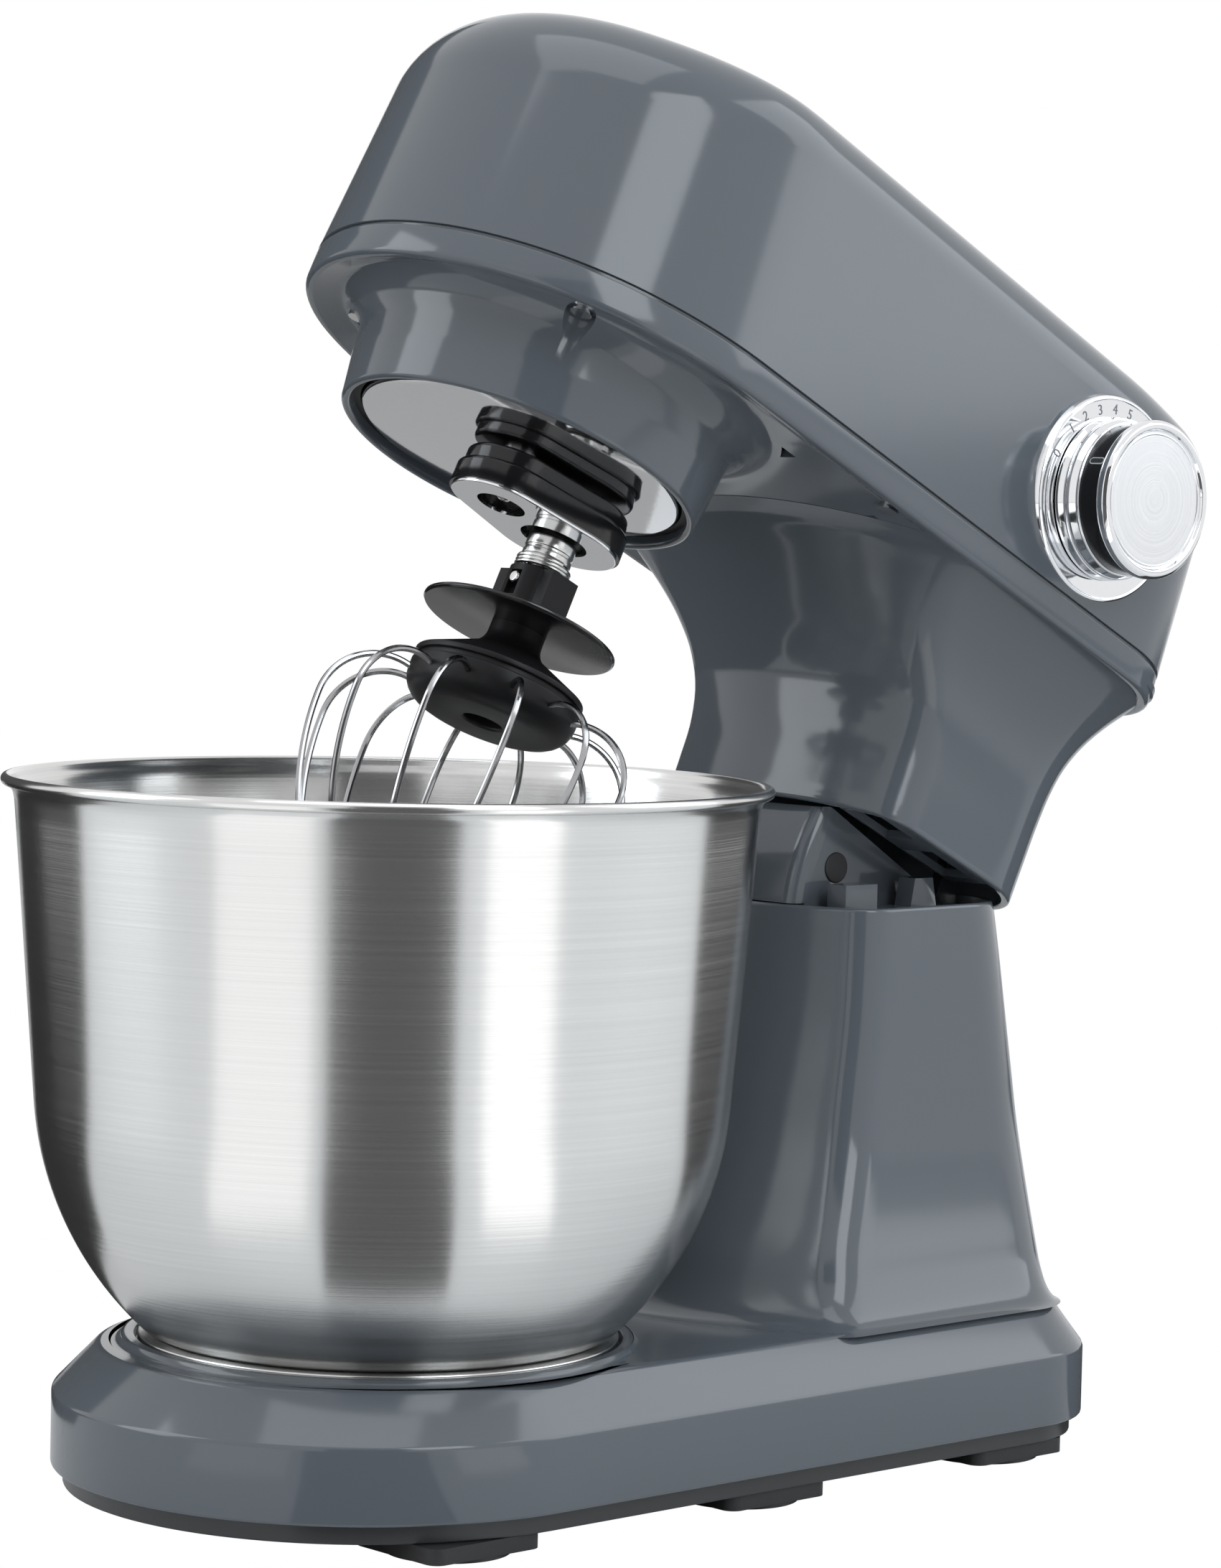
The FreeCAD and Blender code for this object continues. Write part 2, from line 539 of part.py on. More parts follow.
def make_tower_plugs():
    for side, name in ((-1, "left"), (1, "right")):
        body = node("tower_plug_" + name)
        start = S.tower_half - S.plug_depth if side > 0 else -S.tower_half - S.plug_proud
        pad(body, circles(body, name + "_plug", "YZ_Plane", [(S.plug_y, S.plug_z, S.plug_radius)], start),
            S.plug_depth + S.plug_proud)


def make_hinge_pin():
    body = node("hinge_pin")
    pad(body, circles(body, "pin_circle", "YZ_Plane", [(S.pivot_y, S.pivot_z, S.pin_radius)], -S.pin_half),
        S.pin_half * 2)


def make_plate_screws():
    body = node("plate_screws")
    heads = [(across, along, S.screw_radius) for across, along in screw_places()]
    pad(body, circles(body, "screw_heads", "XY_Plane", heads, S.plate_low), S.screw_head)


def make_gland():
    body = node("cord_gland")
    across, height, rim = S.gland_x, S.gland_z, S.gland_rim
    disc = circles(body, "gland_disc", "XZ_Plane", [(across, height, S.gland_radius)],
                   -S.base_rear - S.gland_reach)
    length = S.gland_reach + S.stand_wall + rim
    pad(body, disc, length)
    flange = circles(body, "gland_flange", "XZ_Plane", [(across, height, S.gland_radius + rim)],
                     -S.base_rear - rim)
    pad(body, flange, rim)
    hole = circles(body, "gland_bore", "XZ_Plane", [(across, height, S.gland_hole)],
                   -S.base_rear - S.gland_reach)
    cut(body, hole, length)


# ---- bowl ----

WALL_TOP = S.rim_radius - S.rim_roll
WALL_LOW = WALL_TOP - S.wall_taper


def bowl_arc_height(radius, wall):
    """Height at the given radius of the bowl's lower arc, which leaves its straight wall smoothly."""
    run, rise = S.wall_taper, S.wall_top_z - S.wall_low_z
    slant = root(run * run + rise * rise)
    reach, across = S.bowl_arc - wall, radius - (WALL_LOW - S.bowl_arc * rise / slant)
    return S.wall_low_z + S.bowl_arc * run / slant - root(reach * reach - across * across)


def make_bowl():
    body = node("bowl")
    wall, bead = S.bowl_wall, S.bead_radius
    low_z = S.bowl_floor_z
    heel = WALL_LOW - S.heel_inset
    flat = heel - S.heel_run
    outer_z, inner_z = bowl_arc_height(heel, Size(0)), bowl_arc_height(heel, wall)
    bead_z = S.rim_z - bead
    bead_r = S.rim_radius - bead
    points = [(0, low_z), (flat, low_z), (heel, outer_z, S.bowl_arc),
              (WALL_LOW, S.wall_low_z), (WALL_TOP, S.wall_top_z),
              (bead_r, bead_z - bead, bead), (bead_r + bead, bead_z, bead), (bead_r, bead_z + bead, bead),
              (bead_r - bead, bead_z), (WALL_TOP - wall, S.wall_top_z),
              (WALL_LOW - wall, S.wall_low_z, -(S.bowl_arc - wall)), (heel, inner_z),
              (flat, low_z + wall), (0, low_z + wall)]
    turned(body, "bowl_profile", points)


def make_bowl_ring():
    body = node("bowl_foot_ring")
    inner = S.ring_radius - S.ring_wall
    high, low = S.bowl_floor_z, S.bowl_floor_z - S.flange_thick
    turned(body, "ring_profile", [(inner, S.ring_low), (S.ring_radius, S.ring_low), (S.ring_radius, high),
                                  (inner - S.ring_wall, high), (inner - S.ring_wall, low), (inner, low)])
    lugs = outline(body, "ring_lugs", "XY_Plane",
                   sector(inner - S.lug_reach, inner + S.cut_over, S.lug_arc), S.ring_low)
    repeat(body, pad(body, lugs, S.lug_height), S.bayonet_count)


# ---- head shell ----

def up(height):
    """A height above the mouth's lip, as a height above the floor with the head closed."""
    return S.mouth_z + height


def add_neck(body, inset, kind):
    """The neck is straight at its foot and then flares into the head."""
    foot = [(S.neck_low, neck_plan(S.neck_half, S.neck_front, S.neck_rear, inset)),
            (S.neck_flare_z, neck_plan(S.neck_half, S.neck_flare_front, S.neck_rear, inset))]
    loft(body, "neck_foot_" + kind, "XY_Plane", foot, kind)
    loft(body, "neck_flare_" + kind, "XY_Plane", neck_sections(inset, up(S.panel_low) + S.cut_over), kind)


def neck_sections(inset, top):
    return [(S.neck_flare_z, neck_plan(S.neck_half, S.neck_flare_front, S.neck_rear, inset)),
            (S.neck_bend_z, neck_plan(S.neck_bend_half, S.neck_bend_front, S.neck_bend_rear, inset)),
            (S.neck_root_z, neck_plan(S.neck_root_half, S.neck_root_front, S.neck_root_rear, inset)),
            (top, neck_plan(S.neck_top_half, S.neck_top_front, S.neck_top_rear, inset))]


def make_lower_housing():
    body = node("head_lower_housing", True)
    band = outline(body, "head_band", "XY_Plane", head_plan(), up(S.band_bottom))
    pad(body, band, S.seam - S.band_bottom)
    loft(body, "head_cove", "XY_Plane", [(up(S.band_bottom), head_plan(S.lip_inset)),
                                         (up(S.panel_low), head_plan(S.cove_inset))], "SubtractiveLoft")
    mouth = [(0, up(0)), (S.mouth_radius, up(0)), (S.mouth_mid_radius, up(S.mouth_mid)),
             (S.mouth_high_radius, up(S.mouth_high), -S.mouth_cove), (S.mouth_root_radius, up(S.panel_low)),
             (S.mouth_root_radius, up(S.panel_high)), (0, up(S.panel_high))]
    turned(body, "mouth_skirt", mouth)
    add_neck(body, Size(0), "AdditiveLoft")
    cut(body, outline(body, "band_hollow", "XY_Plane", head_plan(S.head_wall), up(S.panel_high)),
        S.seam - S.panel_high)
    cut(body, circles(body, "mouth_bore", "XY_Plane", [(0, 0, S.mouth_bore)], up(0)), S.panel_high)
    add_neck(body, S.neck_wall, "SubtractiveLoft")
    hollow = neck_plan(S.neck_top_half, S.neck_top_front, S.neck_top_rear, S.neck_wall)
    cut(body, outline(body, "neck_opening", "XY_Plane", hollow, up(S.panel_low)), S.seam - S.panel_low)
    recesses = circles(body, "screw_recesses", "XY_Plane",
                       [place + (S.recess_bore,) for place in recess_places()], up(S.recess_low))
    cut(body, recesses, S.recess_floor - S.recess_low)


def recess_places():
    """The deep screw holes under the head: two beside the mouth and two on its long sides."""
    pairs = ((S.recess_x, S.recess_front), (S.recess_side_x, S.recess_side))
    return [(across * side, along) for across, along in pairs for side in (-1, 1)]


def make_head_screws():
    body = node("head_screws", True)
    heads = [place + (S.screw_radius,) for place in recess_places()]
    pad(body, circles(body, "head_screw_discs", "XY_Plane", heads, up(S.recess_floor) - S.screw_head),
        S.screw_head)


def make_top_cover():
    body = node("head_top_cover", True)
    for kind, wall in (("AdditiveLoft", Size(0)), ("SubtractiveLoft", S.head_wall)):
        shoulder = up(S.cover_top) - S.cover_round
        sides = [(up(S.seam + S.seam_gap), head_plan(wall)), (shoulder, head_plan(S.cover_draft + wall))]
        loft(body, "cover_sides_" + kind, "XY_Plane", sides, kind)
        loft(body, "cover_crown_" + kind, "XY_Plane",
             [crown_section(shoulder, wall, S.crown_turn * step) for step in range(CROWN_STEPS + 1)], kind)
    cut(body, circles(body, "spindle_hole", "YZ_Plane", [(S.knob_y, up(S.knob_u), S.bush_radius + S.gap)],
                      S.switch_out), S.knob_low)
    cut(body, circles(body, "dial_recess", "YZ_Plane", [(S.knob_y, up(S.knob_u), S.dial_radius + S.gap)],
                      S.dial_back), S.dial_radius)


def crown_section(shoulder, wall, turn):
    """The cover's outline part of the way round its rounded top edge."""
    reach = S.cover_round - wall
    return shoulder + reach * sine(turn), head_plan(S.cover_draft + wall + reach * (1 - cosine(turn)))


def make_mouth_ring():
    body = node("mouth_ring", True)
    turned(body, "seal_profile", [(S.seal_inner, up(S.seal_low)), (S.mouth_bore, up(S.seal_low)),
                                  (S.mouth_bore, up(S.seal_high)), (S.seal_inner, up(S.seal_high))])


def make_neck_floor():
    body = node("neck_floor", True)
    inset = S.neck_wall + S.floor_gap
    floor = neck_plan(S.neck_half, S.neck_front, S.neck_rear, inset)
    pad(body, outline(body, "floor_plan", "XY_Plane", floor, S.floor_low), S.floor_thick)
    cuts = [box(-S.floor_hole_half, S.floor_hole_half, S.floor_hole_front, S.floor_hole_rear),
            box(-S.neck_half, S.neck_half, S.floor_rear, S.neck_rear)]
    for side in (-1, 1):
        cuts.append(box(S.slot_inner * side, S.slot_outer * side, S.slot_front, S.slot_rear))
        cuts.append(box(S.slot_inner * side, S.slot_outer * side, S.fin_slot_front, S.fin_slot_rear))
    for number, points in enumerate(cuts):
        cut(body, outline(body, "floor_cut_%d" % number, "XY_Plane", points, S.floor_low), S.floor_thick)


def make_hinge_bracket():
    body = node("hinge_bracket", True)
    plate_high = up(S.panel_high)
    arm = [(S.arm_front, S.arm_foot_top), (S.pivot_y - S.lug_radius, S.pivot_z, S.lug_radius),
           (S.pivot_y, S.pivot_z - S.lug_radius, S.lug_radius), (S.pivot_y + S.lug_radius, S.pivot_z),
           (S.arm_rear, S.arm_foot_top), (S.arm_rear, plate_high), (S.arm_front, plate_high)]
    for side in (-1, 1):
        start = S.arm_inner if side > 0 else -S.arm_inner - S.arm_width
        pad(body, outline(body, "arm_%d" % (side + 1), "YZ_Plane", arm, start), S.arm_width)
    pad(body, outline(body, "bracket_plate", "XY_Plane",
                      box(-S.arm_inner - S.arm_width, S.arm_inner + S.arm_width, S.arm_front, S.arm_rear),
                      plate_high - S.arm_width), S.arm_width)
    hole = circles(body, "bracket_bore", "YZ_Plane", [(S.pivot_y, S.pivot_z, S.pin_radius + S.pin_gap)],
                   -S.pin_half)
    cut(body, hole, S.pin_half * 2)


# ---- head works ----

def make_head_frame():
    body = node("head_frame", True)
    half, rear, corner = S.frame_half, S.frame_rear, S.frame_corner
    points = [(-half, S.frame_front), (half, S.frame_front), (half, rear - corner), (half - corner, rear),
              (corner - half, rear), (-half, rear - corner)]
    pad(body, outline(body, "frame_plan", "XY_Plane", points, up(S.panel_high)), S.frame_thick)
    cut(body, circles(body, "frame_hole", "XY_Plane", [(0, S.motor_y, S.motor_radius)], up(S.panel_high)),
        S.frame_thick)


def make_gearbox_case():
    body = node("gearbox_case", True)
    wall = S.case_wall
    flange = S.panel_high
    outer = S.case_bore + wall
    points = [(S.case_bore, up(S.seal_high)), (outer, up(S.seal_high)), (outer, up(flange)),
              (S.case_flange, up(flange)), (S.case_flange, up(flange) + wall),
              (outer, up(flange) + wall), (S.bearing_radius + wall, up(S.case_top)),
              (S.bearing_radius, up(S.case_top)), (S.bearing_radius, up(S.bearing_low)),
              (S.case_bore, up(S.ring_high_u))]
    turned(body, "case_profile", points)


def module():
    """The gears' module, from the distance between the two axes."""
    return S.orbit * 2 / (S.ring_teeth - S.planet_teeth)


def tooth(count, sides, heights):
    """One tooth that points along +Y: half widths and heights from the pitch circle, both in modules."""
    unit = module()
    pitch = count * 0.5
    right = [(unit * across, unit * (pitch + height)) for across, height in zip(sides, heights)]
    return right + [(-across, along) for across, along in reversed(right)]


def make_ring_gear():
    body = node("ring_gear", True)
    low, high = up(S.ring_low_u), up(S.ring_high_u)
    rim = module() * (S.ring_teeth * 0.5 + RING_HEIGHTS[1])
    turned(body, "ring_gear_profile", [(rim, low), (S.case_bore, low), (S.case_bore, high), (rim, high)])
    half_step = 180 / S.ring_teeth
    turn, lean = cosine(half_step), sine(half_step)
    shape = [(across * turn - along * lean, across * lean + along * turn)
             for across, along in tooth(S.ring_teeth, RING_SIDES, RING_HEIGHTS)]
    repeat(body, pad(body, outline(body, "ring_tooth", "XY_Plane", shape, low), high - low), S.ring_teeth)


def make_bearings():
    for name, low in (("lower", S.bearing_low), ("upper", S.bearing_high)):
        body = node("shaft_bearing_" + name, True)
        inner = S.shaft_radius + S.run_gap
        turned(body, name + "_bearing", [(inner, up(low)), (S.bearing_radius, up(low)),
                                         (S.bearing_radius, up(low + S.bearing_width)),
                                         (inner, up(low + S.bearing_width))])


def make_motor_case():
    body = node("motor_case", True)
    low, high, wall = up(S.motor_low), up(S.motor_high), S.motor_wall
    radius, bore = S.motor_radius, S.rotor_shaft + S.run_gap
    seat, flange = up(S.panel_high + S.frame_thick), radius + S.motor_flange
    points = [(bore, low), (radius, low), (radius, seat), (flange, seat), (flange, seat + wall),
              (radius, seat + wall), (radius, high), (bore, high), (bore, high - wall),
              (radius - wall, high - wall), (radius - wall, low + wall), (bore, low + wall)]
    turned(body, "motor_profile", points, S.motor_y)


def make_rotor():
    body = node("motor_rotor", True)
    foot, tip = up(S.motor_low + S.rotor_clear), up(S.belt_high + S.rotor_proud)
    low, high = up(S.motor_low + S.rotor_margin), up(S.motor_high - S.rotor_margin)
    turned(body, "rotor_profile", [(0, foot), (S.rotor_shaft, foot), (S.rotor_shaft, low),
                                   (S.rotor_radius, low), (S.rotor_radius, high),
                                   (S.rotor_shaft, high), (S.rotor_shaft, tip), (0, tip)], S.motor_y)


def pulley(name, radius, bore, axis_y):
    body = node(name, True)
    low, high, thick = up(S.belt_low), up(S.belt_high), S.flange_thick
    edge = radius + S.flange_proud
    points = [(bore, low - thick), (edge, low - thick), (edge, low), (radius, low),
              (radius, high), (edge, high), (edge, high + thick), (bore, high + thick)]
    turned(body, name + "_profile", points, axis_y)


def make_belt():
    body = node("drive_belt", True)
    for grow, kind in ((S.gap + S.belt_thick, pad), (S.gap, cut)):
        big, small = S.wheel_radius + grow, S.pulley_radius + grow
        lean = (big - small) / S.motor_y
        slope = root(1 - lean * lean)
        loop = [(big * slope, big * lean), (small * slope, S.motor_y + small * lean, small),
                (0, S.motor_y + small, small), (-small * slope, S.motor_y + small * lean),
                (-big * slope, big * lean, big), (-big, 0, big), (0, -big, big), (big, 0, big)]
        sketch = outline(body, "belt_%s" % kind.__name__, "XY_Plane", loop, up(S.belt_low) + S.gap)
        kind(body, sketch, S.belt_high - S.belt_low - S.gap * 2)


def make_board():
    body = node("control_board", True)
    low = up(S.panel_high + S.frame_thick)
    pad(body, outline(body, "board_plan", "XY_Plane",
                      box(-S.board_half, S.board_half, S.board_front, S.board_rear), low + S.board_lift),
        S.board_thick)
    for side in (-1, 1):
        post = circles(body, "board_post_%d" % (side + 1), "XY_Plane",
                       [(S.post_x * side, (S.board_front + S.board_rear) / 2, S.post_radius)], low)
        pad(body, post, S.board_lift + S.board_thick)


def make_switch():
    body = node("speed_switch", True)
    half = S.switch_half
    centre = up(S.knob_u)
    pad(body, outline(body, "switch_side", "YZ_Plane",
                      box(S.knob_y - half, S.knob_y + half, centre - half, centre + half), S.switch_in),
        S.switch_out - S.switch_in)
    pad(body, circles(body, "switch_bush", "YZ_Plane", [(S.knob_y, centre, S.bush_radius)], S.switch_out),
        S.dial_back - S.switch_out)
    cut(body, circles(body, "switch_bore", "YZ_Plane", [(S.knob_y, centre, S.spindle_radius + S.run_gap)],
                      S.switch_in), S.dial_back - S.switch_in)


# ---- planetary drive ----

def make_planet_disc():
    body = node("planet_disc", True)
    low, high = up(S.disc_low), up(S.disc_rim)
    floor = low + S.disc_thick
    radius = S.disc_radius
    inner = radius - S.disc_thick
    turned(body, "disc_profile", [(0, low), (radius, low), (radius, high), (inner, high), (inner, floor),
                                  (S.disc_hub, floor), (S.disc_hub, high), (0, high)])
    cut(body, circles(body, "disc_bores", "XY_Plane",
                      [(0, 0, S.shaft_radius), (0, S.orbit, S.output_radius + S.run_gap)], low), high - low)


def make_carrier_shaft():
    body = node("carrier_shaft", True)
    low, high = up(S.arm_step), up(S.belt_high + S.wheel_proud)
    turned(body, "carrier_profile", [(0, low), (S.shaft_radius, low), (S.shaft_radius, high), (0, high)])


def stadium(radius, far):
    """Two half circles joined by straight sides, from the head's axis to the output axis."""
    return [(radius, 0), (radius, far, radius), (0, far + radius, radius), (-radius, far),
            (-radius, 0, radius), (0, -radius, radius)]


def make_planet_arm():
    body = node("planet_arm", True)
    pad(body, outline(body, "arm_top", "XY_Plane", stadium(S.arm_top_radius, S.orbit), up(S.arm_step)),
        S.arm_top - S.arm_step)
    pad(body, outline(body, "arm_tier", "XY_Plane", stadium(S.arm_radius, S.orbit), up(S.arm_low)),
        S.arm_step - S.arm_low)
    cut(body, circles(body, "arm_bore", "XY_Plane", [(0, S.orbit, S.output_radius + S.run_gap)],
                      up(S.arm_low)), S.arm_top - S.arm_low)
    cut(body, circles(body, "arm_shaft_seat", "XY_Plane", [(0, 0, S.shaft_radius)], up(S.arm_step)),
        S.arm_top - S.arm_step)
    cut(body, circles(body, "arm_recesses", "XY_Plane", arm_recesses(), up(S.arm_low)), S.recess_depth)


def arm_recesses():
    """The round openings for the arm's screw and for the output shaft's collar."""
    return [(0, 0, S.recess_radius), (0, S.orbit, S.collar_recess)]


def make_arm_plate():
    body = node("arm_plate", True)
    low = up(S.arm_low) - S.arm_plate_thick
    shape = stadium(S.arm_radius - S.arm_plate_inset, S.orbit)
    pad(body, outline(body, "arm_plate_plan", "XY_Plane", shape, low), S.arm_plate_thick)
    cut(body, circles(body, "arm_plate_holes", "XY_Plane", arm_recesses(), low), S.arm_plate_thick)


def make_arm_screw():
    body = node("arm_screw", True)
    high = up(S.arm_low + S.recess_depth)
    turned(body, "arm_screw_profile", [(0, high - S.screw_head), (S.screw_radius, high - S.screw_head),
                                       (S.screw_radius, high), (0, high)])


def make_output_shaft():
    body = node("output_shaft", True)
    radius, chamfer = S.output_radius, S.shaft_chamfer
    points = [(0, S.output_low), (radius - chamfer, S.output_low), (radius, S.output_low + chamfer),
              (radius, S.collar_low), (S.collar_radius, S.collar_low), (S.collar_radius, S.collar_high),
              (radius, S.collar_high), (radius, S.output_high), (0, S.output_high)]
    turned(body, "output_profile", [(across, up(height)) for across, height in points], S.orbit)
    cut(body, circles(body, "cross_hole", "XZ_Plane", [(0, up(S.drive_pin_u), S.drive_pin_radius)],
                      -S.orbit - S.collar_radius), S.collar_radius * 2)


def make_planet_gear():
    """The gear is drawn about its own axis and then moved out to the output shaft."""
    body = node("planet_gear", True)
    body.Placement = HEAD_TILT.multiply(FreeCAD.Placement(V(0, float(S.orbit), 0), FreeCAD.Rotation()))
    low, high = up(S.gear_low), up(S.gear_high)
    foot = module() * (S.planet_teeth * 0.5 + PLANET_HEIGHTS[1])
    turned(body, "planet_gear_profile", [(S.output_radius, low), (foot, low), (foot, high),
                                         (S.output_radius, high)])
    shape = tooth(S.planet_teeth, PLANET_SIDES, PLANET_HEIGHTS)
    repeat(body, pad(body, outline(body, "planet_tooth", "XY_Plane", shape, low), high - low), S.planet_teeth)


def make_drive_pin():
    body = node("drive_pin", True)
    pad(body, circles(body, "drive_pin_circle", "XZ_Plane", [(0, up(S.drive_pin_u), S.drive_pin_radius)],
                      -S.orbit - S.drive_pin_reach), S.drive_pin_reach * 2)


def make_tool_spring():
    """A coil spring of tilted half turns, set in code because no sketch makes a helix."""
    low = float(up(S.socket_high) + S.spring_wire + S.gap)
    high = float(up(S.collar_low) - S.spring_wire - S.gap)
    radius, wire, halves = float(S.spring_radius), float(S.spring_wire), int(2 * float(S.spring_turns))
    rise = (high - low) / halves
    turns = [half_turn(radius, low + rise * step, rise, step % 2) for step in range(halves)]
    coil = wire_along(turns, wire, SPRING_SIDES)
    coil.translate(V(0, float(S.orbit), 0))
    add_solid("tool_spring", coil)


def half_turn(radius, low, rise, back):
    """An arc half way round the axis that climbs by the given rise."""
    side = -1 if back else 1
    return Part.Arc(V(side * radius, 0, low), V(0, side * radius, low + rise / 2),
                    V(-side * radius, 0, low + rise)).toShape()


def wire_along(edges, radius, sides):
    """A wire with a many-sided section, swept along tangent edges."""
    path = Part.Wire(Part.__sortEdges__(edges))
    first = path.OrderedEdges[0]
    start, along = first.valueAt(first.FirstParameter), first.tangentAt(first.FirstParameter)
    across = along.cross(V(0, 1, 0)).normalize() * radius
    corners = [start + FreeCAD.Rotation(along, 360.0 * (side + 0.5) / sides).multVec(across)
               for side in range(sides)]
    return path.makePipeShell([Part.makePolygon(corners + corners[:1])], True, False)


def add_solid(name, shape):
    item = DOC.addObject("Part::Feature", name)
    item.Label = name
    item.Shape = shape
    item.Placement = HEAD_TILT.multiply(item.Placement)
    NODES.append(item)


# ---- whisk ----

def make_whisk_socket():
    body = node("whisk_socket", True)
    low, high, inner = up(S.socket_low), up(S.socket_high), S.output_radius + S.run_gap
    turned(body, "socket_profile", [(inner, low), (S.socket_radius, low), (S.socket_radius, high),
                                    (inner, high)], S.orbit)
    for side in (-1, 1):
        wing = box(S.wing_root * side, S.wing_reach * side, S.orbit - S.wing_half, S.orbit + S.wing_half)
        pad(body, outline(body, "socket_wing_%d" % (side + 1), "XY_Plane", wing, up(S.wing_low)),
            S.socket_high - S.wing_low)
    half = S.drive_pin_radius + S.gap
    slot_high = up(S.drive_pin_u) + half
    slot = outline(body, "socket_slot", "XZ_Plane", box(-half, half, slot_high - S.slot_depth, slot_high),
                   -S.orbit - S.wing_reach)
    cut(body, slot, S.wing_reach * 2)


def make_splash_disc():
    body = node("splash_disc", True)
    low = up(S.splash_u) - S.splash_thick / 2
    edge, high = S.splash_edge, low + S.splash_thick
    turned(body, "splash_profile", [(0, low), (S.splash_radius - edge, low), (S.splash_radius, low + edge),
                                    (S.splash_radius, high), (0, high)], S.orbit)


def make_whisk_hub():
    body = node("whisk_hub", True)
    top = up(S.splash_u) - S.splash_thick / 2
    neck, edge = S.hub_neck, S.hub_radius
    low, rim = up(S.hub_low), up(S.hub_low + S.hub_rim)
    turned(body, "hub_profile", [(0, low), (edge, low), (edge, rim), (neck, up(S.hub_neck_low)),
                                 (neck, top), (0, top)], S.orbit)


def make_whisk_cap():
    body = node("whisk_cap", True)
    edge, low = S.hub_radius, up(S.cup_low)
    groove = edge - S.groove_depth
    turned(body, "cap_profile", [(S.cup_hole, low), (edge - S.cup_round, low, S.cup_round),
                                 (edge, low + S.cup_round), (edge, up(S.groove_low)),
                                 (groove, up(S.groove_low)), (groove, up(S.hub_low)), (0, up(S.hub_low)),
                                 (0, low + S.cup_floor), (S.cup_hole, low + S.cup_floor)], S.orbit)


def wire_side(tip):
    """Half of a wire from the cap to its tip: a shoulder, a long side and a round end, all tangent."""
    rise, bend = math.radians(float(S.wire_rise)), math.radians(float(S.wire_bend))
    widest, start = float(S.whisk_radius), V(float(S.hub_radius + S.wire_gap), 0, float(up(S.wire_root_u)))
    shoulder = (widest - start.x) / (1 + math.sin(rise))
    low = start.z - shoulder * math.cos(rise)
    fall = low - tip
    share = math.cos(bend) / (1 - math.sin(bend))
    side = (fall * share - widest) / (math.sin(bend) * share - 1 + math.cos(bend))
    end = (fall - side * math.sin(bend)) / (1 - math.sin(bend))
    return [turn_arc(V(widest - shoulder, 0, low), shoulder, math.pi / 2 + rise, 0),
            turn_arc(V(widest - side, 0, low), side, 0, -bend),
            turn_arc(V(0, 0, tip + end), end, -bend, -math.pi / 2)]


def turn_arc(centre, radius, first, last):
    """An arc in the XZ plane between two angles measured from +X towards +Z."""
    places = [centre + V(math.cos(angle), 0, math.sin(angle)) * radius
              for angle in (first, (first + last) / 2, last)]
    return Part.Arc(*places).toShape()


def whisk_wire(angle, tip):
    """One bent wire: out of the cap, round to the tip and back up the other side."""
    half = wire_side(tip)
    other = [edge.mirror(V(), V(1, 0, 0)) for edge in reversed(half)]
    wire = wire_along(half + other, float(S.wire_radius), WIRE_SIDES)
    wire.rotate(V(), V(0, 0, 1), angle)
    wire.translate(V(0, float(S.orbit), 0))
    return wire


def make_whisk_wires():
    count = int(float(S.wire_count))
    tips = [float(up(S.whisk_tip)) + float(S.wire_step) * step for step in range(count)]
    wires = [whisk_wire(180.0 / count * step, tip) for step, tip in enumerate(tips)]
    add_solid("whisk_wires", Part.makeCompound(wires))


# ---- knob ----

def make_dial_plate():
    body = node("dial_plate", True)
    bore = S.spindle_radius + S.dial_clear
    turned_knob(body, "dial_profile", [(S.dial_back, bore), (S.dial_back, S.dial_radius),
                                       (S.dial_face, S.dial_radius), (S.dial_face, bore)])


def make_knob():
    body = node("knob_body", True)
    turned_knob(body, "knob_profile", [(S.knob_low, S.spindle_radius), (S.knob_low, S.knob_radius),
                                       (S.knob_low + S.knob_side, S.knob_radius),
                                       (S.knob_high, S.knob_cap_radius + S.knob_step),
                                       (S.knob_high, S.spindle_radius)])
    ring = node("knob_ring", True)
    inner, outer = S.knob_disc_radius, S.knob_cap_radius
    turned_knob(ring, "knob_ring_profile", [(S.knob_high, inner), (S.knob_high, outer),
                                            (S.knob_face, outer - S.knob_ring_taper), (S.knob_face, inner)])
    cap = node("knob_cap", True)
    turned_knob(cap, "knob_cap_profile", [(S.knob_high, 0), (S.knob_high, S.knob_disc_radius),
                                          (S.knob_disc_face, S.knob_disc_radius), (S.knob_disc_face, 0)])
    spindle = node("knob_spindle", True)
    turned_knob(spindle, "spindle_profile", [(S.spindle_in, 0), (S.spindle_in, S.spindle_radius),
                                             (S.knob_high, S.spindle_radius), (S.knob_high, 0)])


# ---- release button ----

def make_button():
    body = node("release_button")
    disc = circles(body, "button_disc", "YZ_Plane", [(S.button_y, S.button_z, S.button_radius)],
                   -S.button_face)
    pad(body, disc, S.button_face - S.button_in)
    flange = circles(body, "button_flange", "YZ_Plane", [(S.button_y, S.button_z, S.button_flange)],
                     -S.button_in - S.button_rim)
    pad(body, flange, S.button_rim)


